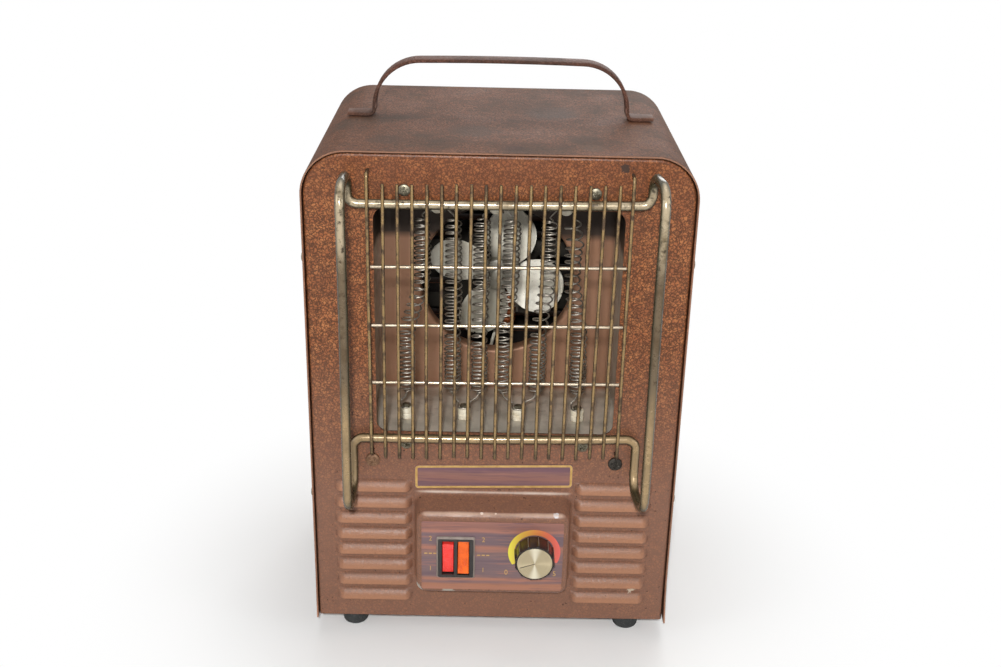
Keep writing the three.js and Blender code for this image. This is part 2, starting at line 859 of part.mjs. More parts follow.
// the wire's least distance to itself, counted between points over half a curl apart
function leastGap(points) {
  let least = Infinity;
  for (let i = 0; i < points.length; i += 1) {
    for (let j = i + curlSteps / 2 + 1; j < points.length; j += 1) {
      least = Math.min(least, points[i].distanceTo(points[j]));
    }
  }
  return least - 2 * coilWire;
}

// the end of a hairpin: along its bolt's head on top of the post, then over to the first curl
function coilTail(post, foot) {
  const beside = post + Math.sign(foot - post) * (boltHead + coilWire + gap);
  const seat = postTop + coilWire + gap;
  const approach = foot + (beside - foot) * 0.3;
  return [
    at(beside, postDepth - boltRadius, seat),
    at(beside, postDepth + boltRadius, seat),
    at(beside, coilDepth - coilWire, seat + 2 * coilWire),
    at(approach, coilDepth, coilLow - coilRadius),
  ];
}

function makeElements() {
  const over = spoolGroove + coilWire + gap;
  hairpins.forEach(({ feet, tops }, i) => {
    const points = [
      ...coilTail(postXs[i], feet[0]),
      ...curls(feet[0], tops[0], true),
      ...arc(at(spoolXs[i], coilDepth, spoolHeight), over, X, Z, Math.PI, 0, 6),
      ...curls(feet[1], tops[1], false),
      ...coilTail(postXs[i + 1], feet[1]).reverse(),
    ];
    place(`element_coil_${i + 1}`, rod(points, coilWire, 5), nichrome);
    console.log(`element_coil_${i + 1}: least gap to itself ${leastGap(points).toFixed(2)} mm`);
  });
}

// ---- fan and motor ----
const bladeRoot = hubRadius - 2; // the blades start inside the hub

// a pressed blade: a broad petal, pitched and slightly cupped
function blade(turn) {
  const across = 4;
  const along = 4;
  const rootHalf = 0.34; // half angle at the root
  const spread = 0.3; // how much it widens outwards
  const face = (side) => {
    const rows = [];
    for (let i = 0; i <= along; i += 1) {
      const u = i / along;
      const r = bladeRoot + (fanRadius - bladeRoot) * Math.sin(u * Math.PI / 2);
      const widening = Math.sin(Math.min(u * 1.25, 1) * Math.PI / 2);
      const tipRound = Math.sqrt(1 - 0.75 * u ** 6);
      const half = rootHalf + spread * widening * tipRound;
      const row = [];
      for (let j = 0; j <= across; j += 1) {
        const v = 2 * j / across - 1;
        const reach = r * (1 - 0.1 * u * v * v);
        const twist = reach * Math.sin(v * half) * bladePitch;
        const depth = twist + bladeCup * u * (1 - v * v) + side * bladeThick / 2;
        row.push(at(reach * Math.cos(turn + v * half), depth, reach * Math.sin(turn + v * half)));
      }
      rows.push(row);
    }
    return rows;
  };
  const front = face(-1);
  const back = face(1);
  // each ring runs along the back of a row and returns along its front
  return loft(back.map((row, i) => [...row, ...front[i].slice().reverse()]));
}

function depthBehindHub(geometry) {
  geometry.computeBoundingBox();
  return geometry.boundingBox.max.y;
}

const hubMiddle = fanFront + hubLength / 2;
const bladesBack = hubMiddle + depthBehindHub(blade(0));
const rotorFront = bladesBack + fanClear + windingWall;
const bracketDepth = rotorFront - gap - sheet;
const statorFront = rotorFront;
const statorBack = statorFront + statorThick;
const endPlate = statorBack + gap;
const shaftBack = endPlate + sheet + shaftStub;
const shaftFront = fanFront + hubCap;
const limbLow = axisHeight - statorDrop;
const limbHigh = limbLow + limbThick;
const statorHigh = axisHeight + statorRise;
const windingLow = limbLow - gap - windingWall;
const windingHigh = limbHigh + gap + windingWall;
const windowTop = windingHigh + gap;

function makeFan() {
  const hub = bar('y', hubRadius, -hubLength / 2, hubLength / 2, 0, 0, 20);
  const holeFront = shaftFront - gap - hubMiddle;
  const shaftHole = bar('y', shaftRadius + gap, holeFront, hubLength, 0, 0, holeSides);
  const blades = [];
  for (let i = 0; i < bladeCount; i += 1) blades.push(blade(bladePhase + i * 2 * Math.PI / bladeCount));
  place('fan_blade', shaped(hub, blades, [shaftHole]), cream, 0, hubMiddle, axisHeight);
}

function makeRotorAndStator() {
  const shaft = bar('y', shaftRadius, shaftFront, shaftBack, 0, 0, holeSides);
  const core = bar('y', rotorRadius, rotorFront, statorBack, 0, 0, rotorSides);
  place('motor_rotor', shaped(core, [shaft], []), steel, 0, 0, axisHeight);

  const [front, back] = [statorFront - past, statorBack + past];
  const stator = box(-statorHalf, statorHalf, statorFront, statorBack, limbLow, statorHigh);
  const bore = bar('y', rotorRadius + gap, front, back, 0, axisHeight, rotorSides);
  const slot = box(-windingHalf - gap, windingHalf + gap, front, back, limbHigh, windowTop);
  place('motor_stator', shaped(stator, [], [bore, slot]), laminated);

  const winding = box(-windingHalf, windingHalf, statorFront - windingWall, statorBack + windingWall,
    windingLow, windingHigh);
  const limb = box(-windingHalf - past, windingHalf + past, statorFront - gap, statorBack + gap,
    limbLow - gap, limbHigh + gap);
  place('motor_winding', shaped(winding, [], [limb]), varnish);
}

// a plate across the stator's end, notched for the winding, and the cuts through it
function endPlateAt(front) {
  const back = front + sheet;
  const plate = box(-statorHalf, statorHalf, front, back, limbLow, statorHigh);
  const notchHalf = windingHalf + notchGap;
  const notch = box(-notchHalf, notchHalf, front - past, back + past, limbLow - past, windowTop + gap);
  const bearing = bar('y', shaftRadius + gap, front - past, back + past, 0, axisHeight, holeSides);
  return { plate, cuts: [notch, bearing] };
}

// two straps carry the motor on the chamber's back wall
function bracketStraps() {
  const wall = chamberBack + sheet + gap;
  const back = bracketDepth + sheet;
  return strapHeights.flatMap((z) => {
    const [low, high] = [z - strapHalf, z + strapHalf];
    const across = box(-strapReach, strapReach, bracketDepth, back, low, high);
    const legs = [-strapReach, strapReach - sheet].map((x) => box(x, x + sheet, wall, back, low, high));
    const feet = [-strapReach - strapFoot, strapReach - sheet].map((x) => box(
      x, x + strapFoot + sheet, wall, wall + sheet, low, high,
    ));
    return [across, ...legs, ...feet];
  });
}

function makeMotor() {
  makeRotorAndStator();
  const front = endPlateAt(bracketDepth);
  place('motor_bracket', shaped(front.plate, bracketStraps(), front.cuts), steel);
  const rear = endPlateAt(endPlate);
  const cup = bar('y', shaftRadius + cupWall, endPlate, endPlate + cupDepth, 0, axisHeight, holeSides);
  place('motor_end_plate', shaped(rear.plate, [cup], rear.cuts), steel);
}

// ---- controls ----
const boxFace = -boxDepth;
const labelFront = boxFace - labelGap - labelThick;
const bezelFront = labelFront - bezelProud;
const pocketHalf = rockerHeight / 2 + 0.8;
const pocketBack = pocketFloor - pivotDepth;
const switchBack = pocketBack + switchBase;
const rockerXs = [switchX - rockerPitch / 2, switchX + rockerPitch / 2];
const knobBack = labelFront - knobClear;
const capSides = 32;

function makeLabels() {
  const back = boxFace - labelGap;
  const film = roundedRect(-labelHalf, labelHalf, labelLow, labelHigh, labelCorner);
  const through = [labelFront - past, back + past];
  const holes = [
    box(switchX - bodyHalfX - gap, switchX + bodyHalfX + gap, ...through,
      switchZ - bodyHalfZ - gap, switchZ + bodyHalfZ + gap),
    bar('y', neckRadius + gap, ...through, knobX, knobZ),
  ];
  place('control_label', shaped(plateY(film, labelFront, labelThick, 1), [], holes), decal);
  const strip = roundedRect(-nameHalf, nameHalf, nameLow, nameHigh, labelCorner);
  place('name_strip', plateY(strip, -labelGap - labelThick, labelThick, 1), decal);
}

function makeSwitch() {
  const bezel = box(switchX - bezelWidth / 2, switchX + bezelWidth / 2, bezelFront, labelFront - touch,
    switchZ - bezelHeight / 2, switchZ + bezelHeight / 2);
  const body = box(switchX - bodyHalfX, switchX + bodyHalfX, bezelFront + gap, switchBack,
    switchZ - bodyHalfZ, switchZ + bodyHalfZ);
  const pocketWide = rockerWidth / 2 + rockerFit;
  const pockets = rockerXs.map((x) => box(
    x - pocketWide, x + pocketWide, bezelFront - past, pocketBack,
    switchZ - pocketHalf, switchZ + pocketHalf,
  ));
  place('switch_housing', shaped(bezel, [body], pockets), blackPlastic);
}

// both rockers share one outline: a shallow V in front, a narrow heel behind the pivot
function makeRocker(name, x, tilt, material) {
  const half = rockerHeight / 2;
  const heelDepth = 3.5;
  const profile = [
    [-rockerReach, half],
    [-rockerReach + 1.5, 0],
    [-rockerReach, -half],
    [-1, -half],
    [heelDepth, -rockerHeel],
    [heelDepth, rockerHeel],
    [-1, half],
  ];
  const geometry = plateX(profile, -rockerWidth / 2, rockerWidth);
  const rocker = place(name, geometry, material, x, -pivotDepth, switchZ);
  rocker.rotation.x = tilt;
}

function makeThermostat() {
  const front = boxFace + sheet + gap;
  const [halfX, halfZ] = thermostatHalf;
  const neckFront = labelFront - neckReach;
  const body = box(
    knobX - halfX, knobX + halfX, front, front + thermostatDepth, knobZ - halfZ, knobZ + halfZ,
  );
  const neck = bar('y', neckRadius, neckFront, front + sheet, knobX, knobZ);
  const stemBack = front + stemDepth;
  const stemHole = bar('y', stemRadius + gap, neckFront - past, stemBack + gap, knobX, knobZ, holeSides);
  place('thermostat_body', shaped(body, [neck], [stemHole]), blackPlastic);

  const knobFront = knobBack - knobHeight;
  const boreFloor = knobFront + capSeat + knobWall;
  const stem = bar('y', stemRadius, boreFloor + gap, stemBack, 0, 0, holeSides);
  place('thermostat_stem', stem, steel, knobX, 0, knobZ);

  const barrel = plateY(ribbedCircle(), knobFront, knobHeight);
  const recess = bar('y', capRadius + gap, knobFront - past, knobFront + capSeat, 0, 0, capSides);
  const bore = bar('y', stemRadius + gap, boreFloor, knobBack + past, 0, 0, holeSides);
  const hollow = bar('y', neckRadius + neckClear, neckFront - gap, knobBack + past, 0, 0);
  place('control_knob', shaped(barrel, [], [recess, bore, hollow]), blackPlastic, knobX, 0, knobZ);
  const capBack = knobFront + capSeat - touch;
  const cap = bar('y', capRadius, capBack - capThick, capBack, 0, 0, capSides);
  place('knob_cap', cap, champagne, knobX, 0, knobZ);
}

function ribbedCircle() {
  const outline = new THREE.Shape();
  for (let i = 0; i < 2 * knobRibs; i += 1) {
    const angle = (i + 0.5) * Math.PI / knobRibs;
    const r = knobRadius - (i % 2 ? ribDepth : 0);
    const corner = [r * Math.cos(angle), r * Math.sin(angle)];
    if (i === 0) outline.moveTo(...corner);
    else outline.lineTo(...corner);
  }
  outline.closePath();
  return outline;
}

// ---- inner trim ----
function makeInnerTrim() {
  const under = chamberFloor - sheet - gap;
  const limiter = [
    [0, under - 7],
    [5, under - 7],
    [8, under - 4],
    [8, under],
    [0, under],
  ];
  const [limiterX, limiterY] = [40, 60];
  place('heat_limiter', turned(limiter, holeSides).rotateX(Math.PI / 2), blackPlastic, limiterX, limiterY);

  const inside = backFace - sheet - gap - bushingReach;
  const outside = backFace + touch;
  const flangeRadius = glandHole + 3;
  const neck = glandHole - gap;
  const mouth = cordHole + 1.5;
  const bushing = [
    [cordHole, inside],
    [neck, inside],
    [neck, outside],
    [flangeRadius, outside],
    [flangeRadius - 1, outside + bushingReach / 2],
    [mouth, outside + bushingReach],
    [cordHole, outside + bushingReach],
    [cordHole, inside],
  ];
  place('cord_bushing', turned(bushing, holeSides), blackPlastic, glandX, 0, glandZ);
}

// two of the inner leads: from the heat switch to an element, from the fan switch to the motor
function makeLeads() {
  const from = switchBack + gap;
  const boltLow = boltEnd - gap;
  const windingFoot = windingLow - gap;
  const windingMiddle = (statorFront + statorBack) / 2;
  const elementLead = [
    at(rockerXs[1], from, switchZ),
    at(rockerXs[1], from + leadRise / 2, switchZ),
    at((rockerXs[1] + postXs[0]) / 2, (from + postDepth) / 2, (switchZ + boltLow) / 2),
    at(postXs[0], postDepth, boltLow - leadRise),
    at(postXs[0], postDepth, boltLow),
  ];
  const motorLead = [
    at(rockerXs[0], from, switchZ),
    at(rockerXs[0], from + leadRise / 2, switchZ),
    at(rockerXs[0], windingMiddle / 2, (switchZ + panelLow) / 1.1),
    at(0, windingMiddle, windingFoot - leadRise),
    at(0, windingMiddle, windingFoot),
  ];
  const lead = (points) => {
    const curve = new THREE.CatmullRomCurve3(points);
    return rod(curve.getPoints(3 * points.length), leadRadius, 5);
  };
  place('element_lead', lead(elementLead), leadCover);
  place('motor_lead', lead(motorLead), leadCover);
}

makeWrapper();
makeFrontPanel();
makeRearPanel();
makeBasePan();
makeFeet();
makeHandle();
makeGuardFrame();
makeGuardWires();
makeScrews();
makeChamber();
makeElementCarriers();
makeElements();
makeFan();
makeMotor();
makeLabels();
makeSwitch();
makeRocker('rocker_fan', rockerXs[0], rockerTilt, redPlastic);
makeRocker('rocker_heat', rockerXs[1], -rockerTilt, amberPlastic);
makeThermostat();
makeInnerTrim();
makeLeads();

// the origin goes under the middle of the whole: from the guard's front to the bushing's end
const foremost = -crossFront - loopReach - rodRadius;
const rearmost = backFace + touch + bushingReach;
heater.position.y = -(foremost + rearmost) / 2;

export default heater;
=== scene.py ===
import math
import random
import bmesh
import bpy
from mathutils import Matrix, Vector


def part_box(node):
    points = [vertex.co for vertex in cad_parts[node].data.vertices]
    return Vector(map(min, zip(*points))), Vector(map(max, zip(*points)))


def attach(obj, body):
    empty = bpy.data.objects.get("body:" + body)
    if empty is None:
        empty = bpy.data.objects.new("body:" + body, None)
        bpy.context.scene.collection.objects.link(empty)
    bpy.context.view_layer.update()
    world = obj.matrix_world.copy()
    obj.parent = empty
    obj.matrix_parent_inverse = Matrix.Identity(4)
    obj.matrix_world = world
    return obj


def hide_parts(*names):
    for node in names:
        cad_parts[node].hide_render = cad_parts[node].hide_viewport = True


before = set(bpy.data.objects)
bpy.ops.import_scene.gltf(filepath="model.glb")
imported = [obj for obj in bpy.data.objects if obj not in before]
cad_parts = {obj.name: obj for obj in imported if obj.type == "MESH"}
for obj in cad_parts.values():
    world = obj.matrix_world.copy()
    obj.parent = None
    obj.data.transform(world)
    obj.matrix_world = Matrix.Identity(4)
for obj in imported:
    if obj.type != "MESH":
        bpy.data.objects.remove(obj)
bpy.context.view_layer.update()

# A small forced-air heater: sheet casing, wire guard, bare coils, fan and controls.
# Places are in millimetres: x to the right, y counted from the front panel's face, z from the floor.
mm = 0.001
wrapLip = 1.5  # the wrapper stands this far past the panel's face
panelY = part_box("cabinet_wrap")[0].y / mm + wrapLip


def at(x, y, z):
    # a place in the script's millimetres as one in the frame
    return Vector((x, y + panelY, z)) * mm


def span(node):
    # a node's lowest and highest corner in the same millimetres
    shift = Vector((0, panelY, 0))
    return tuple(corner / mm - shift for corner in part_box(node))


def quarter(steps):
    # angles from 0 to a quarter turn, for folds and rounded rims
    return [math.pi / 2 * i / steps for i in range(steps + 1)]


def ease(t):
    # a smooth step from 0 to 1
    t = min(max(t, 0), 1)
    return t * t * (3 - 2 * t)


def arc(centre, radius, start, end, steps):
    # points (a, b) of an arc between two angles in degrees
    turns = [math.radians(start + (end - start) * i / steps) for i in range(steps + 1)]
    return [(centre[0] + radius * math.cos(t), centre[1] + radius * math.sin(t)) for t in turns]


def roundedRect(x0, x1, z0, z1, r, steps=6):
    # a rectangle's outline with corners of radius r
    corners = [((x1 - r, z0 + r), -90), ((x1 - r, z1 - r), 0), ((x0 + r, z1 - r), 90),
               ((x0 + r, z0 + r), 180)]
    return [p for centre, start in corners for p in arc(centre, r, start, start + 90, steps)]


def archOutline(half, low, top, r, steps=14):
    # the casing's outline: square at the foot, rounded at both top corners
    crown = arc((half - r, top - r), r, 0, 90, steps) + arc((r - half, top - r), r, 90, 180, steps)
    return [(-half, low), (half, low)] + crown


def grid(rows, closedRow=False, closedAlong=False):
    # rows of points, all of one length, become a sheet of quads
    count = len(rows[0])
    faces = []
    for r in range(len(rows) if closedAlong else len(rows) - 1):
        for i in range(count if closedRow else count - 1):
            near, far = r * count, (r + 1) % len(rows) * count
            nextOne = (i + 1) % count
            faces.append((near + i, near + nextOne, far + nextOne, far + i))
    return [p for row in rows for p in row], faces


def sweptSheet(rows):
    # rows closed on one another, with a face over each end
    points, faces = grid(rows, closedAlong=True)
    count = len(rows[0])
    faces.append(tuple(i * count for i in range(len(rows))))
    faces.append(tuple(i * count + count - 1 for i in reversed(range(len(rows)))))
    return points, faces


def loft(rings, capFirst=True, capLast=True):
    # closed rings of points joined into a skin, with a face over its ends
    points, faces = grid(rings, closedRow=True)
    count = len(rings[0])
    if capFirst:
        faces.append(tuple(reversed(range(count))))
    if capLast:
        faces.append(tuple(range(len(points) - count, len(points))))
    return points, faces


def lathe(profile, axis, centre, steps=48, closed=False):
    # a profile of (radius, height) turned round an axis through the centre
    order = {"y": lambda u, v, h: (u, h, v), "z": lambda u, v, h: (u, v, h)}[axis]
    rings = []
    for radius, height in profile:
        turns = [2 * math.pi * i / steps for i in range(steps)]
        ring = [order(radius * math.cos(t), radius * math.sin(t), height) for t in turns]
        rings.append([tuple(c + o for c, o in zip(centre, p)) for p in ring])
    if closed:
        return grid(rings, closedRow=True, closedAlong=True)
    return loft(rings, profile[0][0] > 0, profile[-1][0] > 0)


def tube(path, radius, around=12, closed=False, taper=None):
    # a round wire along a path; the section is carried along so that it never twists
    path = [Vector(p) for p in path]
    count = len(path)
    rings = []
    normal = None
    for i, point in enumerate(path):
        before = path[i - 1] if closed or i else path[0]
        after = path[(i + 1) % count] if closed or i < count - 1 else path[-1]
        tangent = (after - before).normalized()
        normal = normal or tangent.orthogonal()
        normal = (normal - tangent * normal.dot(tangent)).normalized()
        across = tangent.cross(normal)
        r = radius * (taper(i / (count - 1)) if taper else 1)
        turns = [2 * math.pi * k / around for k in range(around)]
        rings.append([tuple(point + (normal * math.cos(t) + across * math.sin(t)) * r) for t in turns])
    return grid(rings, True, True) if closed else loft(rings)


def join(*parts):
    # several skins as one
    points, faces = [], []
    for morePoints, moreFaces in parts:
        start = len(points)
        points += morePoints
        faces += [tuple(i + start for i in face) for face in moreFaces]
    return points, faces


def makePiece(name, skin, material, nodes=(), body="casing", angle=35, bevel=0, pressed=False):
    # a skin becomes a mesh on its body, smooth but for the edges sharper than the angle
    points, faces = skin
    mesh = bpy.data.meshes.new(name)
    mesh.from_pydata([at(*p) for p in points], [], faces)
    mesh.validate()
    obj = bpy.data.objects.new(name, mesh)
    bpy.context.scene.collection.objects.link(obj)
    skinned = bmesh.new()
    skinned.from_mesh(mesh)
    bmesh.ops.remove_doubles(skinned, verts=skinned.verts, dist=0.01 * mm)
    bmesh.ops.recalc_face_normals(skinned, faces=skinned.faces)
    skinned.to_mesh(mesh)
    skinned.free()
    mesh.materials.append(material)
    for polygon in mesh.polygons:
        polygon.use_smooth = True
    mesh.set_sharp_from_angle(angle=math.radians(angle))
    if bevel:
        rounding = obj.modifiers.new("rounded edges", "BEVEL")
        rounding.width = bevel * mm
        rounding.segments = 3
        rounding.limit_method = "ANGLE"
        rounding.angle_limit = math.radians(angle)
    if pressed:
        # the flats of pressed sheet stay flat up to their folds
        flats = obj.modifiers.new("flat sheet", "WEIGHTED_NORMAL")
        flats.weight = 100
        flats.keep_sharp = True
    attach(obj, body)
    if nodes:
        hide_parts(*nodes)


def flatSkin(curve, front, thick):
    # a filled 2D curve as a skin standing in the x-z plane
    flat = bpy.data.objects.new(curve.name, curve)
    bpy.context.scene.collection.objects.link(flat)
    bpy.context.view_layer.update()
    mesh = bpy.data.meshes.new_from_object(flat.evaluated_get(bpy.context.evaluated_depsgraph_get()))
    bpy.data.objects.remove(flat)
    bpy.data.curves.remove(curve)
    points = [(v.co.x / mm, front + thick / 2 - v.co.z / mm, v.co.y / mm) for v in mesh.vertices]
    faces = [tuple(p.vertices) for p in mesh.polygons]
    bpy.data.meshes.remove(mesh)
    return points, faces


def cutSheet(name, outline, holes, front, thick, edge=0.0):
    # a flat sheet with holes, its edges rounded
    curve = bpy.data.curves.new(name, "CURVE")
    curve.dimensions = "2D"
    curve.fill_mode = "BOTH"
    curve.extrude = (thick / 2 - edge) * mm
    curve.bevel_depth = edge * mm
    curve.bevel_resolution = 2
    curve.offset = -edge * mm
    for ring in [outline, *holes]:
        spline = curve.splines.new("POLY")
        spline.points.add(len(ring) - 1)
        for point, (a, b) in zip(spline.points, ring):
            point.co = (a * mm, b * mm, 0, 1)
        spline.use_cyclic_u = True
    return flatSkin(curve, front, thick)


def makeCamera():
    view = {"place": (-5.346, -781.519, 578.856), "yaw": -0.571, "down": 23.055, "roll": 1.347,
            "lens": 44.96}
    camera = bpy.data.objects.new("camera", bpy.data.cameras.new("camera"))
    camera.data.lens = view["lens"]
    camera.data.sensor_width = 36
    down, roll = math.radians(view["down"]), math.radians(view["roll"])
    ahead = Vector((0, math.cos(down), -math.sin(down)))
    up = Vector((0, math.sin(down), math.cos(down)))
    right = Vector((1, 0, 0))
    across = right * math.cos(roll) + up * math.sin(roll)
    over = up * math.cos(roll) - right * math.sin(roll)
    turn = Matrix.Rotation(math.radians(view["yaw"]), 3, "Z")
    columns = Matrix([turn @ across, turn @ over, turn @ -ahead]).transposed()
    camera.matrix_world = Matrix.Translation(at(*view["place"])) @ columns.to_4x4()
    bpy.context.scene.collection.objects.link(camera)
    bpy.context.scene.camera = camera


def hexLinear(code):
    # an sRGB hex colour as linear light
    parts = [int(code[i:i + 2], 16) / 255 for i in (0, 2, 4)]
    return (*[c / 12.92 if c <= 0.04045 else ((c + 0.055) / 1.055) ** 2.4 for c in parts], 1)


def addNode(tree, kind, settings=None, links=None):
    # settings name an input, by name or number, or a property of the node; links name what feeds an input
    node = tree.nodes.new(kind)
    for key, value in (settings or {}).items():
        if isinstance(key, int) or key in node.inputs:
            node.inputs[key].default_value = value
        else:
            setattr(node, key, value)
    for key, source in (links or {}).items():
        tree.links.new(source, node.inputs[key])
    return node


def whiteRays(tree):
    # the camera, metal and glass see plain white; the light on the object stays at the studio's level
    path = addNode(tree, "ShaderNodeLightPath")
    first = addNode(tree, "ShaderNodeMath", {"operation": "MAXIMUM"},
                    {0: path.outputs["Is Camera Ray"], 1: path.outputs["Is Glossy Ray"]})
    return addNode(tree, "ShaderNodeMath", {"operation": "MAXIMUM"},
                   {0: first.outputs[0], 1: path.outputs["Is Transmission Ray"]})


def makeStage():
    # the paper near the object keeps its shadow and goes over into plain white further out
    studio = {"floorHalf": 9, "paper": "FAFAF9", "surround": 0.14, "fadeFrom": 0.15, "fadeTo": 0.33}
    world = bpy.data.worlds.new("studio")
    bpy.context.scene.world = world
    world.use_nodes = True
    tree = world.node_tree
    back = tree.nodes["Background"]
    back.inputs["Color"].default_value = (1, 1, 1, 1)
    seen = whiteRays(tree)
    strength = addNode(tree, "ShaderNodeMapRange", {"To Min": studio["surround"], "To Max": 1.0},
                       {"Value": seen.outputs[0]})
    tree.links.new(strength.outputs[0], back.inputs["Strength"])
    half = studio["floorHalf"]
    mesh = bpy.data.meshes.new("floor")
    mesh.from_pydata([(-half, -half, 0), (half, -half, 0), (half, half, 0), (-half, half, 0)], [],
                     [(0, 1, 2, 3)])
    floor = bpy.data.objects.new("floor", mesh)
    bpy.context.scene.collection.objects.link(floor)
    paper = bpy.data.materials.new("paperFloor")
    paper.use_nodes = True
    tree = paper.node_tree
    shader = tree.nodes["Principled BSDF"]
    shader.inputs["Base Color"].default_value = hexLinear(studio["paper"])
    shader.inputs["Roughness"].default_value = 0.95
    shader.inputs["Specular IOR Level"].default_value = 0.2
    place = addNode(tree, "ShaderNodeTexCoord").outputs["Object"]
    far = addNode(tree, "ShaderNodeVectorMath", {"operation": "LENGTH"}, {0: place})
    edges = {"interpolation_type": "SMOOTHSTEP", "From Min": studio["fadeFrom"],
             "From Max": studio["fadeTo"]}
    fade = addNode(tree, "ShaderNodeMapRange", edges, {"Value": far.outputs["Value"]})
    share = addNode(tree, "ShaderNodeMath", {"operation": "MULTIPLY"},
                    {0: fade.outputs[0], 1: whiteRays(tree).outputs[0]})
    white = addNode(tree, "ShaderNodeEmission")
    mixed = addNode(tree, "ShaderNodeMixShader",
                    links={0: share.outputs[0], 1: shader.outputs[0], 2: white.outputs[0]})
    tree.links.new(mixed.outputs[0], tree.nodes["Material Output"].inputs["Surface"])
    mesh.materials.append(paper)


def makeLights():
    # a soft box above the camera, one on each side, one overhead and one behind
    boxes = {
        "frontBox": {"place": (-0.04, -1.1, 0.8), "size": 0.07, "power": 12.5},
        "leftBox": {"place": (-1.5, -0.7, 0.9), "size": 0.8, "power": 4.5},
        "rightBox": {"place": (1.5, -0.6, 0.8), "size": 0.8, "power": 4},
        "topBox": {"place": (0.1, 0.4, 1.8), "size": 1.2, "power": 9},
        "rearBox": {"place": (0.3, 1.8, 0.9), "size": 1.0, "power": 14},
    }
    aim = Vector((0, 0, 0.2))
    for name, lamp in boxes.items():
        light = bpy.data.lights.new(name, "AREA")
        light.shape = "SQUARE"
        light.size = lamp["size"]
        light.energy = lamp["power"]
        obj = bpy.data.objects.new(name, light)
        obj.location = lamp["place"]
        obj.rotation_euler = (aim - obj.location).to_track_quat("-Z", "Y").to_euler()
        bpy.context.scene.collection.objects.link(obj)


makeCamera()
makeStage()
makeLights()
bpy.context.scene.view_settings.view_transform = "Standard"
print("stage ready")


def startMaterial(name, metallic, roughness, specular=0.5):
    # a new material, with its tree, its shader and a place in the object's own frame for the patterns
    material = bpy.data.materials.new(name)
    material.use_nodes = True
    tree = material.node_tree
    shader = tree.nodes["Principled BSDF"]
    shader.inputs["Metallic"].default_value = metallic
    shader.inputs["Roughness"].default_value = roughness
    shader.inputs["Specular IOR Level"].default_value = specular
    place = addNode(tree, "ShaderNodeTexCoord").outputs["Object"]
    return material, tree, shader, place


def perMetre(size):
    # pattern scale for features of this many millimetres
    return 1 / (size * mm)


def paint(tree, ground, coats, smooth=False):
    # coats over a ground, which is a hex colour or what is there already. Each coat is (colour, share,
    # source, low, high) and comes in as its source goes from low to high; a mask after these keeps it in
    fade = "SMOOTHSTEP" if smooth else "LINEAR"
    for tone, share, source, low, high, *masks in coats:
        settings = {"interpolation_type": fade, "From Min": low, "From Max": high, "To Max": share}
        shown = addNode(tree, "ShaderNodeMapRange", settings, {"Value": source})
        for mask in masks:
            shown = addNode(tree, "ShaderNodeMath", {"operation": "MULTIPLY"},
                            {0: shown.outputs[0], 1: mask})
        mixed = addNode(tree, "ShaderNodeMix", {"data_type": "RGBA", 7: hexLinear(tone)},
                        {0: shown.outputs[0]})
        if isinstance(ground, str):
            mixed.inputs[6].default_value = hexLinear(ground)
        else:
            tree.links.new(ground, mixed.inputs[6])
        ground = mixed.outputs[2]
    return ground


def finishSurface(tree, shader, colour, gloss=None, relief=()):
    # gloss is (source, low, high, smooth, rough) and relief is (source, strength, depth in mm)
    tree.links.new(colour, shader.inputs["Base Color"])
    if gloss:
        source, low, high, smooth, rough = gloss
        spread = addNode(tree, "ShaderNodeMapRange", {"From Min": low, "From Max": high, "To Min": smooth,
                                                      "To Max": rough}, {"Value": source})
        tree.links.new(spread.outputs[0], shader.inputs["Roughness"])
    under = {}
    for source, strength, depth in relief:
        bump = addNode(tree, "ShaderNodeBump", {"Strength": strength, "Distance": depth * mm},
                       {"Height": source, **under})
        under = {"Normal": bump.outputs[0]}
        tree.links.new(bump.outputs[0], shader.inputs["Normal"])


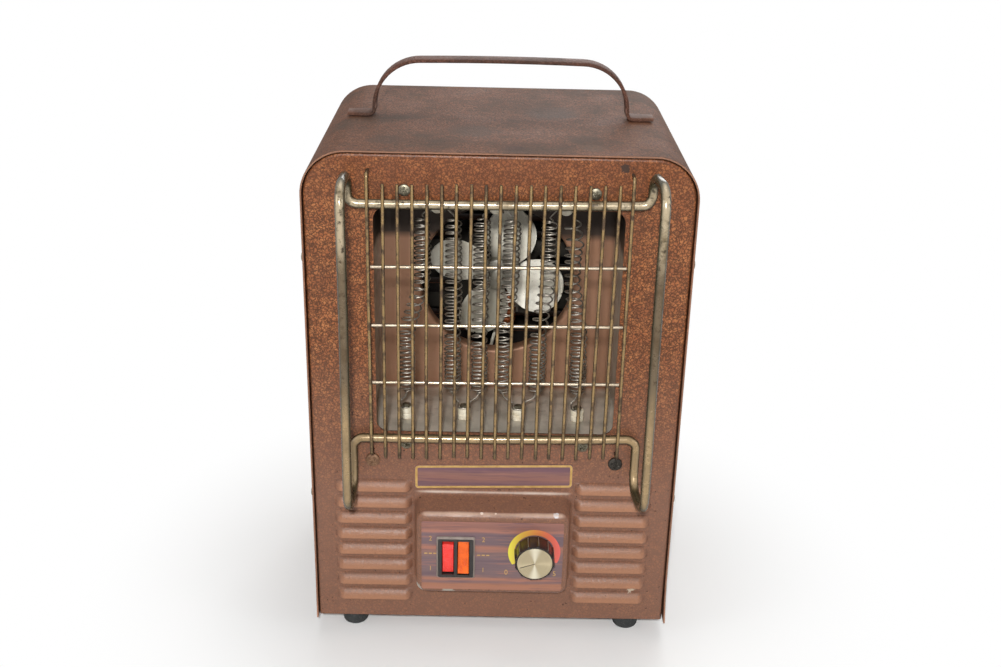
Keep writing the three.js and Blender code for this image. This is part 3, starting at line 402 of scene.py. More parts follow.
def hammerEnamel(name, look):
    # hammer-finish stoving enamel on steel: flake gathers in small curled flecks with dark lines between
    material, tree, shader, place = startMaterial(name, 0.0, look["rough"], look["shine"])
    curl, rough = look["curl"], look["rough"]
    bend = addNode(tree, "ShaderNodeTexNoise", {"Scale": perMetre(curl * 0.8), "Detail": 1.0},
                   {"Vector": place})
    shifted = addNode(tree, "ShaderNodeVectorMath",
                      {"operation": "MULTIPLY_ADD", 1: (curl * 1.5 * mm,) * 3},
                      {0: bend.outputs["Color"], 2: place})
    curls = addNode(tree, "ShaderNodeTexVoronoi", {"feature": "DISTANCE_TO_EDGE", "Scale": perMetre(curl)},
                    {"Vector": shifted.outputs[0]})
    dome = addNode(tree, "ShaderNodeMapRange", {"interpolation_type": "SMOOTHSTEP", "From Max": 0.3},
                   {"Value": curls.outputs["Distance"]}).outputs[0]
    tones, patches, specks, dents = [
        addNode(tree, "ShaderNodeTexNoise", {"Scale": perMetre(size), "Detail": detail, "Roughness": fine},
                {"Vector": place}).outputs[0]
        for size, detail, fine in ((curl * 2.2, 1, 0.5), (38, 5, 0.62), (3.2, 3, 0.7), (55, 1, 0.5))]
    axes = addNode(tree, "ShaderNodeSeparateXYZ", links={0: place}).outputs
    across = addNode(tree, "ShaderNodeMath", {"operation": "ABSOLUTE"}, {0: axes["X"]}).outputs[0]
    flecks, fleckShare = look["flecks"]
    stain, stainShare, stainFrom = look["stain"]
    coats = [(look["domes"], 1, dome, 0, 1),
             (flecks, fleckShare, tones, 0.44, 0.66, dome),  # a share of the curls catch more flake
             (stain, stainShare, patches, stainFrom, stainFrom + 0.2)]  # old grease and handling
    # the foot of the case is duller than its head: (colour, share, from height, to height)
    for tone, share, start, end in look.get("heights", ()):
        coats.append((tone, share, axes["Z"], start * mm, end * mm))
    # specks where the enamel is chipped to dark primer
    speck, speckFrom = look["speck"]
    coats.append((speck, 1, specks, speckFrom, speckFrom + 0.04))
    # knocks that went through the enamel, and stains: (x, y, z, reach, colour)
    for x, y, z, reach, tone in look.get("chips", ()):
        source, full, share = (patches, 1.2, 0.6) if reach > 8 else (specks, 1.5, 0.95)
        near = addNode(tree, "ShaderNodeVectorMath", {"operation": "DISTANCE", 1: tuple(at(x, y, z))},
                       {0: place})
        ragged = addNode(tree, "ShaderNodeMath", {"operation": "MULTIPLY_ADD", 1: reach * 1.6 * mm},
                         {0: source, 2: near.outputs["Value"]})
        coats.append((tone, share, ragged.outputs[0], reach * 1.62 * mm, reach * full * mm))
    # level bands, some painted highlights along folds, some darker: (half width, y, z, reach, colour,
    # share)
    for half, y, z, reach, tone, share in look.get("bands", ()):
        level = addNode(tree, "ShaderNodeVectorMath", {"operation": "MULTIPLY", 1: (0, 1, 1)}, {0: place})
        near = addNode(tree, "ShaderNodeVectorMath", {"operation": "DISTANCE", 1: tuple(at(0, y, z))},
                       {0: level.outputs[0]})
        ragged = addNode(tree, "ShaderNodeMath", {"operation": "MULTIPLY_ADD", 1: reach * 1.6 * mm},
                         {0: patches, 2: near.outputs["Value"]})
        start, end = (half + 3) * mm, (half - reach * 0.6) * mm
        within = addNode(tree, "ShaderNodeMapRange", {"From Min": start, "From Max": end},
                         {"Value": across})
        coats.append((tone, share, ragged.outputs[0], reach * 1.75 * mm, reach * 0.95 * mm,
                      within.outputs[0]))
    if look.get("ridges"):
        # what stands proud of the panel, beside the control box, is painted paler as a highlight
        tone, share, start, end, inner = look["ridges"]
        beside = addNode(tree, "ShaderNodeMapRange", {"From Min": inner * mm, "From Max": (inner + 3) * mm},
                         {"Value": across})
        coats.append((tone, share, axes["Y"], (panelY + start) * mm, (panelY + end) * mm,
                      beside.outputs[0]))
    if look.get("seam"):
        # the fold that goes back under the lip, and the cut edges, are painted black as shade
        tone, share, start, end = look["seam"]
        coats.append((tone, share, axes["Y"], (panelY + start) * mm, (panelY + end) * mm))
    if "inside" in look:
        # the side that faces into the case is painted nearly black: painted shade over the bare inner face
        normal = addNode(tree, "ShaderNodeTexCoord").outputs["Normal"]
        facing = addNode(tree, "ShaderNodeSeparateXYZ", links={0: normal})
        coats.append((look["inside"], 1, facing.outputs["Y"], -0.2, -0.6))
    if "rubbed" in look:
        # folds are rubbed thin and shine
        tone, share = look["rubbed"]
        fold = addNode(tree, "ShaderNodeNewGeometry").outputs["Pointiness"]
        coats.append((tone, share, fold, 0.56, 0.66))
    finishSurface(tree, shader, paint(tree, look["lines"], coats),
                  (patches, 0, 1, rough - 0.05, rough + 0.22),
                  [(dome, look["relief"], 0.15), (dents, 0.35, 1.2)])
    return material


def platedSteel(name, look):
    # nickel or brass over steel rod and wire: bright where it is kept clean, olive where it has dulled
    material, tree, shader, place = startMaterial(name, look["metal"], look["rough"])
    pitSize, pitFrom = look["pits"]
    patches, pits = [
        addNode(tree, "ShaderNodeTexNoise", {"Scale": perMetre(size), "Detail": detail, "Roughness": fine},
                {"Vector": place}).outputs[0]
        for size, detail, fine in ((look["patch"], 6, 0.65), (pitSize, 4, 0.5))]
    height = addNode(tree, "ShaderNodeSeparateXYZ", links={0: place}).outputs["Z"]
    start, end = look["dullFrom"], look["dullFrom"] + 0.16
    spot, spotShare = look["spot"]
    coats = [(look["dull"], 1, patches, start, end), (spot, spotShare, pits, pitFrom, 0.7)]
    # soiled or scuffed below a height: (colour, share, from height, to height), patchy where a kick left it
    for part, masks in (("foot", ()), ("kick", (patches,))):
        if part in look:
            tone, share, high, low = look[part]
            coats.append((tone, share, height, high * mm, low * mm, *masks))
    colour = paint(tree, look["bright"], coats)
    # painted shade: the upper front of each rod, which faces the front lamp, stays bright; its flanks and
    # back are painted dark as shade
    facingLamp = addNode(tree, "ShaderNodeVectorMath", {"operation": "DOT_PRODUCT", 1: (0.0, -0.93, 0.36)},
                     {0: addNode(tree, "ShaderNodeTexCoord").outputs["Normal"]}).outputs["Value"]
    flank, flankShadeShare = look["flank"]
    colour = paint(tree, colour, [(flank, flankShadeShare, facingLamp, 0.93, 0.45)], smooth=True)
    finishSurface(tree, shader, colour, (patches, start, end, look["rough"], look["rough"] + 0.3),
                  [(pits, 0.25, 0.05)])
    return material


def mottled(name, look):
    # one colour with a slow drift to a second and small specks of a third, over a fine grain
    rough = look["rough"]
    material, tree, shader, place = startMaterial(name, look.get("metal", 0.0), rough)
    wander, grain = [
        addNode(tree, "ShaderNodeTexNoise", {"Scale": perMetre(size), "Detail": detail, "Roughness": fine},
                {"Vector": place}).outputs[0]
        for size, detail, fine in ((look["patch"], 5, 0.6), (look["grain"], 3, 0.5))]
    main, drift, speck = look["tones"]
    colour = paint(tree, main, [(drift, 1, wander, 0.4, 0.65),
                                (speck, look.get("specks", 0.5), grain, 0.6, 0.68)])
    # painted shade, darker round a point: (x, z, reach, colour, share)
    shadePatches = []
    for x, z, reach, tone, share in look.get("shadePatches", ()):
        flat = addNode(tree, "ShaderNodeVectorMath", {"operation": "MULTIPLY", 1: (1, 0, 1)}, {0: place})
        near = addNode(tree, "ShaderNodeVectorMath", {"operation": "DISTANCE", 1: (x * mm, 0, z * mm)},
                       {0: flat.outputs[0]})
        shadePatches.append((tone, share, near.outputs["Value"], reach * mm, reach * 0.45 * mm))
    finishSurface(tree, shader, paint(tree, colour, shadePatches, smooth=True),
                  (wander, 0, 1, rough - 0.06, rough + 0.12), [(grain, look.get("relief", 0.2), 0.06)])
    return material


def aluminisedSheet():
    # hot-dipped aluminised sheet: a grey crystal bloom, with a brown painted reflection towards the back of
    # the chamber
    look = {"main": "CCC4B6", "cloud": "A49C8E", "tint": ("96694C", 78, 86), "smoke": "5E4634",
            "topShadow": ("211A14", 283, 289)}
    material, tree, shader, place = startMaterial("aluminisedSheet", 0.35, 0.5)
    bloom = addNode(tree, "ShaderNodeTexVoronoi", {"Scale": perMetre(5)},
                    {"Vector": place}).outputs["Color"]
    cloud, smoke = [
        addNode(tree, "ShaderNodeTexNoise", {"Scale": perMetre(size), "Detail": detail, "Roughness": fine},
                {"Vector": place}).outputs[0]
        for size, detail, fine in ((24, 5, 0.6), (9, 4, 0.7))]
    axes = addNode(tree, "ShaderNodeSeparateXYZ", links={0: place}).outputs
    # the brown towards the back of the chamber is a painted reflection
    tint, tintFront, tintBack = look["tint"]
    # the dark band along the top is a painted shadow, cast by the window's top edge
    topShadow, shadowLow, shadowHigh = look["topShadow"]
    colour = paint(tree, look["main"], [
        (look["cloud"], 1, cloud, 0.42, 0.68), (look["cloud"], 0.16, bloom, 0, 1),
        (tint, 0.92, axes["Y"], (panelY + tintFront) * mm, (panelY + tintBack) * mm),
        (look["smoke"], 0.4, smoke, 0.58, 0.74), (topShadow, 0.93, axes["Z"], shadowLow * mm, shadowHigh * mm)])
    finishSurface(tree, shader, colour, relief=[(cloud, 0.3, 0.4)])
    return material


def stampedStack():
    # the stator is a stack of stampings: fine dark lines run round its edge, with rust in patches
    look = {"sheet": 1.2, "gap": "3A3834", "edge": "75716A", "rust": "5E4430"}
    material, tree, shader, place = startMaterial("laminatedSteel", 0.7, 0.5)
    half = look["sheet"] * mm / 2
    depth = addNode(tree, "ShaderNodeSeparateXYZ", links={0: place}).outputs["Y"]
    lines = addNode(tree, "ShaderNodeMath", {"operation": "PINGPONG", 1: half}, {0: depth}).outputs[0]
    rust = addNode(tree, "ShaderNodeTexNoise", {"Scale": perMetre(6), "Detail": 4.0},
                   {"Vector": place}).outputs[0]
    colour = paint(tree, look["gap"],
                   [(look["edge"], 1, lines, 0, half), (look["rust"], 0.6, rust, 0.55, 0.7)])
    finishSurface(tree, shader, colour)
    return material


# the case: warm copper brown, its lip and ridges painted pale as highlights, painted black shade in the
# seam, a few knocks
caseLook = {
    "curl": 2.3, "domes": "8E5432", "lines": "50301C", "flecks": ("AC7044", 0.7),
    "stain": ("5C3A28", 0.4, 0.52), "heights": (("7E5C4C", 0.72, 240, 120), ("6A3A20", 0.3, 325, 352)),
    "speck": ("3E281E", 0.66), "rough": 0.3, "relief": 0.35, "shine": 0.28,
    "chips": ((44.7, -18, 114.5, 2.6, "C4CCD4"), (-53.5, -16, 52, 6, "A4A096"),
              (-31, -18.5, 50.5, 6, "9C9488"), (80.6, 0, 363.6, 4, "3A2A22"), (104, -2, 42, 4, "B8A894"),
              (96, -3, 55, 2, "C8B8A4"), (-8, -18, 115.5, 1.4, "E4D8CC"), (2, -18, 115.6, 1.2, "E0D0C0")),
    # painted highlights along the top fold of the control box and along the panel just above it
    "bands": ((50, -18.6, 115.4, 2.4, "D8B8A4", 0.65), (54, -0.4, 122.2, 1.4, "CDB8A6", 0.5)),
    # what stands proud is painted paler as a highlight, and the seam black as shade
    "ridges": ("B4805F", 0.5, -1.2, -4.4, 58), "seam": ("1C110B", 0.92, 0.25, 1.1)}
caseEnamel = hammerEnamel("hammerEnamel", caseLook)
# the rear panel and the pan: the same enamel, less worn, with painted shade over the bare inside
rearEnamel = hammerEnamel("hammerEnamelRear", {**caseLook, "bands": (), "ridges": None, "seam": None,
                                               "inside": "1E1916"})
# the wrapper: darker and duller on top, where grease and dust have baked on
topEnamel = hammerEnamel("hammerEnamelTop", {
    "curl": 2.4, "domes": "78452A", "lines": "4C2C18", "flecks": ("8C5E42", 0.6),
    "stain": ("40332A", 0.85, 0.47), "heights": (("6A4E40", 0.3, 240, 120), ("5E4A3E", 0.3, 325, 352)),
    "speck": ("3A2A22", 0.61), "rubbed": ("D29C80", 0.9), "rough": 0.62, "relief": 0.5, "shine": 0.12,
    "chips": ((-20, 60, 371, 26, "4A3A30"), (35, 120, 371, 30, "3E322A"), (-75, 30, 371, 20, "46362C"),
              (10, 12, 371, 16, "40302A"), (60, 20, 371, 14, "5A4638")),
    # its front edge is painted pale as a highlight
    "ridges": ("A8806A", 0.5, -0.9, -1.4, -20)})
# the strap: hands have taken the gloss and the warm flake off it
strapEnamel = hammerEnamel("hammerEnamelStrap", {
    "curl": 2.2, "domes": "6C4A3E", "lines": "50362C", "flecks": ("826052", 0.5),
    "stain": ("40342E", 0.7, 0.48), "speck": ("332822", 0.62), "rubbed": ("B49080", 0.6), "rough": 0.58,
    "relief": 0.5, "shine": 0.1, "bands": ((200, 100, 373, 11, "553A2C", 0.8),)})
# heavy nickelled rod: bright streaks along it, pitted brown spots, scuffed at its foot, its flanks painted
# dark as shade
rodPlate = platedSteel("nickelledRod", {
    "pits": (3.2, 0.54), "patch": 16, "bright": "AC9C80", "dull": "6A5A40", "dullFrom": 0.5,
    "spot": ("2E2416", 0.9), "foot": ("4E3C26", 0.82, 326, 304), "kick": ("B2966C", 1.15, 232, 200),
    "flank": ("33301F", 0.92), "rough": 0.22, "metal": 0.3})
# upright wires: brassy, browned towards their feet, their flanks painted dark as shade
wirePlate = platedSteel("brassedWire", {
    "pits": (1.6, 0.62), "patch": 7, "bright": "957A50", "dull": "4C3A28", "dullFrom": 0.47,
    "spot": ("3C2C1A", 0.6), "foot": ("3A2C20", 0.6, 172, 155), "flank": ("30261A", 0.9), "rough": 0.26,
    "metal": 0.35})
# level tie wires: the same wire, painted brighter as the highlight that level wire catches, their flanks
# painted dark as shade
tiePlate = platedSteel("highlitTieWire", {
    "pits": (1.6, 0.62), "patch": 12, "bright": "B8A892", "dull": "84704F", "dullFrom": 0.56,
    "spot": ("4A3A28", 0.5), "flank": ("4A3C2C", 0.85), "rough": 0.22, "metal": 0.35})
# zinc-plated pressed steel: a dull grey with a yellow cast
screwZinc = mottled("zincScrew", {
    "tones": ("8C8674", "5C5444", "2E2A22"), "patch": 3.5, "grain": 0.8, "metal": 0.9, "rough": 0.42,
    "relief": 0.4})
# a screw that has rusted, and one blackened by hands and heat
rustyScrew = mottled("rustedScrew", {
    "tones": ("8A6A50", "6A4C38", "3E2C20"), "patch": 3, "grain": 0.8, "metal": 0.5, "rough": 0.55,
    "relief": 0.4})
darkScrew = mottled("blackenedScrew", {
    "tones": ("3E3A34", "2A2622", "6A6254"), "patch": 3, "grain": 0.9, "metal": 0.7, "rough": 0.45,
    "relief": 0.4})
chamberSheet = aluminisedSheet()
# steatite, pressed and fired: a warm white with a low sheen
steatite = mottled("steatite", {
    "tones": ("EDE5D0", "D8CBB0", "8E7C60"), "specks": 0.3, "patch": 5, "grain": 0.9, "rough": 0.45})
# drawn nickel-chrome wire, oxidised: silver grey with darker lengths
nichrome = mottled("nichromeWire", {
    "tones": ("B8B0A4", "80786C", "4A443C"), "patch": 9, "grain": 1.0, "metal": 0.85, "rough": 0.4})
# the fan's pale enamel, with grey painted shade round its hub and on two of its blades
fanEnamel = mottled("fanEnamel", {
    "tones": ("F6F1E2", "DAD4C2", "8C8474"), "specks": 0.35, "patch": 24, "grain": 1.6, "metal": 0.1,
    "rough": 0.4, "shadePatches": ((0, 252, 24, "5E594C", 0.85), (-12, 216, 34, "8E8A7A", 0.75),
                            (-44, 262, 30, "9A988E", 0.6))})
# rolled steel, oiled: nearly black, darkened further as painted shade behind the fan
motorSteel = mottled("motorSteel", {
    "tones": ("3E3A34", "2A2723", "46423A"), "patch": 14, "grain": 1.2, "metal": 0.85, "rough": 0.42})
laminatedSteel = stampedStack()
# enamelled copper wire under varnish: orange brown and a little glossy
windingVarnish = mottled("varnishedWinding", {
    "tones": ("8C4A1E", "6A3414", "3C1E0C"), "patch": 8, "grain": 0.9, "metal": 0.4, "rough": 0.35,
    "relief": 0.6})
# moulded phenolic: black with brown in it, and pale dust specks
mouldedBlack = mottled("mouldedPhenolic", {
    "tones": ("1E1B19", "2A2623", "4A423A"), "specks": 0.35, "patch": 12, "grain": 0.7, "rough": 0.34})
# the bezel's border: the same moulding, grey where it takes the light
borderAbs = mottled("borderAbs", {
    "tones": ("8E837A", "7A6E66", "A89C8E"), "specks": 0.3, "patch": 6, "grain": 0.8, "rough": 0.4})
# the knob: polished by hands
knobGloss = mottled("knobGloss", {
    "tones": ("1C1613", "281F1A", "3A2E26"), "specks": 0.3, "patch": 5, "grain": 0.7, "rough": 0.18})
# its ridges: pale strips painted as highlights
ridgeHighlight = mottled("highlitPhenolic", {
    "tones": ("8A7C6C", "5E5246", "3A3028"), "specks": 0.4, "patch": 4, "grain": 0.7, "rough": 0.3})
# ink in the pointer's line
darkInk = mottled("darkInk", {
    "tones": ("2E281E", "3A3226", "4C4434"), "specks": 0.3, "patch": 3, "grain": 0.5, "rough": 0.6})
# lamp covers moulded in polycarbonate, unlit: smooth and strongly coloured
redLens = mottled("redPolycarbonate", {
    "tones": ("F03C34", "E23430", "F47064"), "specks": 0.25, "patch": 7, "grain": 1.4, "rough": 0.25,
    "relief": 0.08})
amberLens = mottled("amberPolycarbonate", {
    "tones": ("EE6404", "D44E02", "B03E02"), "specks": 0.4, "patch": 6, "grain": 1.2, "rough": 0.22,
    "relief": 0.08})
# moulded rubber: matt black, grey with floor dust
footRubber = mottled("footRubber", {
    "tones": ("222424", "303232", "7C7A76"), "specks": 0.4, "patch": 6, "grain": 1.0, "rough": 0.75,
    "relief": 0.3})
# braided glass sleeve, coarser here than real so that its grain shows
sleeveGlass = mottled("glassSleeve", {
    "tones": ("DCD6C6", "C4BCA6", "968C74"), "patch": 6, "grain": 0.7, "rough": 0.7, "relief": 0.5})
# printed bronze ink that passes for gold
goldInk = mottled("goldInk", {
    "tones": ("C29C5C", "AE884A", "A87C40"), "specks": 0.4, "patch": 5, "grain": 0.8, "metal": 0.2,
    "rough": 0.4, "relief": 0.05})


def colourRun(tree, place, low, high, stops):
    # a run of colours between two places in millimetres
    share = addNode(tree, "ShaderNodeMapRange", {"From Min": low * mm, "From Max": high * mm},
                    {"Value": place})
    ramp = addNode(tree, "ShaderNodeValToRGB", links={0: share.outputs[0]})
    marks = ramp.color_ramp.elements
    while len(marks) < len(stops):
        marks.new(0.5)
    for mark, (where, code) in zip(marks, stops):
        mark.position = (where - low) / (high - low)
        mark.color = hexLinear(code)
    return ramp.outputs[0]


def woodFilm(name, look):
    # printed woodgrain film: level bands that waver, with finer streaks in them, under a thin clear gloss
    material, tree, shader, place = startMaterial(name, 0.0, 0.42, 0.35)
    long, high = perMetre(look["streakLong"]), perMetre(look["streakHigh"])
    stretch = addNode(tree, "ShaderNodeVectorMath", {"operation": "MULTIPLY", 1: (long, long, high)},
                      {0: place})
    waver = addNode(tree, "ShaderNodeTexNoise", {"Scale": perMetre(34), "Detail": 2.0}, {"Vector": place})
    axes = addNode(tree, "ShaderNodeSeparateXYZ", links={0: place})
    height = addNode(tree, "ShaderNodeMath", {"operation": "MULTIPLY_ADD", 1: look["waver"] * mm},
                     {0: waver.outputs[0], 2: axes.outputs["Z"]})
    ground = colourRun(tree, height.outputs[0], look["low"], look["high"], look["bands"])
    fine = addNode(tree, "ShaderNodeTexNoise", {"Scale": 1.6, "Detail": 2.5, "Roughness": 0.6},
                   {"Vector": stretch.outputs[0]}).outputs[0]
    colour = paint(tree, ground, [(look["dark"], 0.55, fine, 0.54, 0.66),
                                  (look["pale"], 0.5, fine, 0.44, 0.34)])
    finishSurface(tree, shader, colour)
    shader.inputs["Coat Weight"].default_value = 0.15
    return material


def dialInk():
    # the dial's ring is printed from yellow on the left over orange to red on the right
    look = {"centre": 30.0, "reach": 18, "colours": ("DCD048", "CCA244", "CC8444", "CC684C", "DA625A")}
    material, tree, shader, place = startMaterial("dialInk", 0.0, 0.45, 0.3)
    across = addNode(tree, "ShaderNodeSeparateXYZ", links={0: place}).outputs["X"]
    left, right = look["centre"] - look["reach"], look["centre"] + look["reach"]
    stops = [(left + (right - left) * i / 4, code) for i, code in enumerate(look["colours"])]
    finishSurface(tree, shader, colourRun(tree, across, left, right, stops))
    return material


def spunAluminium():
    # champagne anodised aluminium, spun on a lathe: fine rings that spread each lamp into two fans of light
    look = {"metal": "CCBE9E", "dull": "AE9F80", "fan": "F4ECD4", "ring": 0.5, "centre": (30.0, 85.3)}
    material, tree, shader, place = startMaterial("spunAluminium", 1.0, 0.3)
    shader.inputs["Anisotropic"].default_value = 0.85
    lay = addNode(tree, "ShaderNodeTangent", {"direction_type": "RADIAL", "axis": "Y"})
    tree.links.new(lay.outputs[0], shader.inputs["Tangent"])
    centreX, centreZ = look["centre"]
    centred = addNode(tree, "ShaderNodeVectorMath",
                      {"operation": "SUBTRACT", 1: (centreX * mm, 0, centreZ * mm)}, {0: place})
    flat = addNode(tree, "ShaderNodeVectorMath", {"operation": "MULTIPLY", 1: (1, 0, 1)},
                   {0: centred.outputs[0]})
    radius = addNode(tree, "ShaderNodeVectorMath", {"operation": "LENGTH"}, {0: flat.outputs[0]})
    rings = addNode(tree, "ShaderNodeTexNoise", {"noise_dimensions": "1D", "Scale": perMetre(look["ring"]),
                                                 "Detail": 2.0}, {"W": radius.outputs["Value"]})
    colour = paint(tree, look["dull"], [(look["metal"], 1, rings.outputs[0], 0, 1)])
    # the two fans of light that the turning marks gather, above and below the middle, are painted into the
    # colour as a highlight
    heading = addNode(tree, "ShaderNodeVectorMath", {"operation": "NORMALIZE"}, {0: flat.outputs[0]})
    sides = addNode(tree, "ShaderNodeSeparateXYZ", links={0: heading.outputs[0]})
    off = addNode(tree, "ShaderNodeMath", {"operation": "ABSOLUTE"}, {0: sides.outputs["X"]})
    colour = paint(tree, colour, [(look["fan"], 0.85, off.outputs[0], 0.5, 0.02)], smooth=True)
    finishSurface(tree, shader, colour)
    return material


grainFilm = woodFilm("woodgrainFilm", {
    "low": 50, "high": 113, "streakHigh": 2.6, "streakLong": 50, "waver": 3.0, "dark": "5A4650",
    "pale": "9E6A5A",
    "bands": [(53, "9A6A56"), (59, "98664E"), (61, "725858"), (63.5, "9E6A54"), (66, "705A5A"),
              (80, "6C585C"), (85, "7A605C"), (90, "9C6856"), (92.5, "6A565A"), (101, "6E585C"),
              (103.2, "9C6A5A"), (106, "82594F"), (111, "8C6056")]})
stripFilm = woodFilm("woodgrainStrip", {
    "low": 124, "high": 148, "streakHigh": 2.6, "streakLong": 60, "waver": 2.4, "dark": "553C4A",
    "pale": "92645A",
    "bands": [(126, "664A50"), (131, "6E4E50"), (134, "82584E"), (139, "7E5850"), (142, "6A4A52"),
              (147, "64464C")]})
ringInk = dialInk()
capMetal = spunAluminium()
print("materials ready")


def foldedRim(half, low, top, r, profile):
    # a strip swept round the arch: the profile is a closed line of (inset, depth)
    rows = []
    for inset, depth in profile:
        outline = archOutline(half - inset, low, top - inset, r - inset)[1:] + [(inset - half, low)]
        rows.append([(x, depth, z) for x, z in outline])
    return sweptSheet(rows)


def louvreHood(left, right, low):
    # a slot's hood, pressed out: its lip stands free below and its ends run back into the panel
    hood = {"high": 8.5, "deep": 4.5, "endRun": 5.5}
    outer = [(0.2, 1.0), (0.12, 0.97), (-0.12, 0.9), (-0.4, 0.76), (-0.7, 0.54), (-0.9, 0.3), (-1.0, 0.08),
             (-0.98, 0.0)]
    inner = [(-0.8, 0.0), (-0.74, 0.12), (-0.52, 0.4), (-0.25, 0.66), (0.0, 0.8), (0.2, 0.84)]
    run = hood["endRun"]
    stations = [0, 0.08, 0.25, 0.5, 0.75, 1]
    xs = [left + run * s for s in stations] + [right - run * s for s in reversed(stations)]
    rings = []
    for x in xs:
        rise = max(math.sin(math.pi / 2 * min((x - left) / run, (right - x) / run, 1)), 0.03)
        rings.append([(x, y * hood["deep"] * (rise if y < 0 else 1), low + z * hood["high"])
                      for y, z in outer + inner])
    return loft(rings)


def boxRing(depth, grow, box):
    # the control box's outline at a depth: it widens and its top slopes up towards the panel
    share = 1 + depth / box["deep"]
    half = box["half"] + box["draft"] * share + grow
    low = box["low"] - box["draft"] * share - grow
    high = box["high"] + box["slope"] * share + grow
    return [(x, depth, z) for x, z in roundedRect(-half, half, low, high, box["corner"] + grow, 7)]


def controlBox(box):
    # drawn out of the panel, with a soft foot and a rounded rim round its face
    rings = []
    for t in quarter(5):
        rings.append(boxRing(-box["foot"] * (1 - math.cos(t)), box["foot"] * (1 - math.sin(t)), box))
    for i in range(1, 5):
        rings.append(boxRing(-box["foot"] - (box["deep"] - box["foot"] - box["rim"]) * i / 5, 0, box))
    for t in quarter(7):
        rings.append(boxRing(-box["deep"] + box["rim"] * (1 - math.sin(t)), -box["rim"] * (1 - math.cos(t)),
                             box))
    # its face is cut out for the switch and the thermostat's shaft
    face = [(x, z) for x, _, z in rings[-1]]
    shaft, bore = box["shaft"]
    holes = [roundedRect(*box["switchHole"], 0.8, 3), arc(shaft, bore, 0, 350, 35)]
    return join(loft(rings, capFirst=False, capLast=False),
                cutSheet("boxFace", face, holes, -box["deep"], box["sheet"], 0.05))


def makeFrontPanel():
    # pressed sheet with a folded rim, cut for window and louvres, the control box drawn out of it
    panel = {"half": 128.5, "low": 15, "top": 370.1, "radius": 28.5, "thick": 1.2, "fold": 2.2,
             "flange": 14, "window": (82.8, 170, 334, 8), "louvres": (58.3, 114), "firstLouvre": 31.7,
             "pitch": 13.1, "count": 8}
    box = {"half": 54.2, "low": 49.5, "high": 114.5, "deep": 20, "draft": 1.8, "slope": 6.8, "corner": 7,
           "rim": 3.4, "foot": 3.0, "sheet": 1.2, "switchHole": (-38, -14.2, 65.1, 95.5),
           "shaft": ((30, 85.3), 5.2)}
    fold, thick = panel["fold"], panel["thick"]
    windowHalf, windowLow, windowHigh, windowRound = panel["window"]
    holes = [roundedRect(-windowHalf, windowHalf, windowLow, windowHigh, windowRound)]
    holes.append([(x, z) for x, _, z in boxRing(0, box["foot"] * 0.9, box)])
    parts = []
    for side in (-1, 1):
        left, right = sorted(side * x for x in panel["louvres"])
        for i in range(panel["count"]):
            low = panel["firstLouvre"] + i * panel["pitch"]
            parts.append(louvreHood(left, right, low))
            holes.append(roundedRect(left + 2, right - 2, low + 0.3, low + 6, 0.5, 1))
    outline = archOutline(panel["half"] - fold, panel["low"], panel["top"] - fold, panel["radius"] - fold)
    parts.append(cutSheet("panelSheet", outline, holes, 0, thick))
    bend = [(fold - fold * math.sin(t), fold - fold * math.cos(t)) for t in quarter(5)]
    back = [(thick, panel["flange"]), (thick, fold + thick), (fold + thick * 0.5, thick)]
    parts.append(foldedRim(panel["half"], panel["low"], panel["top"], panel["radius"],
                           bend + [(0, panel["flange"])] + back))
    parts.append(controlBox(box))
    makePiece("frontPanel", join(*parts), caseEnamel, ["front_panel"], angle=38,
              pressed=True)


def makeWrapper():
    # one sheet over the top and down both sides, a little uneven, with a hemmed front edge
    wrap = {"half": 130, "low": 12.5, "top": 371.6, "radius": 30, "thick": 1.2, "front": -1.5, "back": 200,
            "flare": 1.4, "flareFrom": 70, "sag": 0.7, "piece": 18}
    low, half = wrap["low"], wrap["half"]
    hem = [(0.4, 0.0), (0.12, 0.12), (0, 0.4)]
    depths = [wrap["front"] + 1.6 + i * (wrap["back"] - wrap["front"] - 3.2) / 24 for i in range(25)]
    outer = [(inset, wrap["front"] + y) for inset, y in hem] + [(0, y) for y in depths]
    outer += [(inset, wrap["back"] - y) for inset, y in reversed(hem)]
    thick = wrap["thick"]
    inner = [(thick - 0.3, wrap["back"]), (thick, wrap["back"] - 0.4)]
    inner += [(thick, y) for y in reversed(depths)]
    inner += [(thick, wrap["front"] + 0.4), (thick - 0.3, wrap["front"])]

    def shaped(x, y, z):
        along = (y - wrap["front"]) / (wrap["back"] - wrap["front"])
        inside = math.sin(math.pi * min(max(along, 0), 1))
        if z > wrap["top"] - 5 and abs(x) < half - wrap["radius"] * 0.7:
            # the lid has sunk slightly between its edges
            z -= wrap["sag"] * inside * (1 + math.cos(math.pi * x / (half - wrap["radius"] * 0.7))) / 2
        foot = ease((wrap["flareFrom"] - z) / wrap["flareFrom"])
        x += wrap["flare"] * foot * foot * (1 if x > 0 else -0.25)
        return x, y, z

    rows = []
    for inset, y in outer + inner:
        arch = archOutline(half - inset, low, wrap["top"] - inset, wrap["radius"] - inset, 16)[1:]
        arch += [(inset - half, low)]
        row = []
        for (x0, z0), (x1, z1) in zip(arch, arch[1:]):
            pieces = max(1, round(math.hypot(x1 - x0, z1 - z0) / wrap["piece"]))
            row += [(x0 + (x1 - x0) * k / pieces, z0 + (z1 - z0) * k / pieces) for k in range(pieces)]
        row.append(arch[-1])
        rows.append([shaped(x, y, z) for x, z in row])
    makePiece("cabinetWrap", sweptSheet(rows), topEnamel, ["cabinet_wrap"], angle=50)


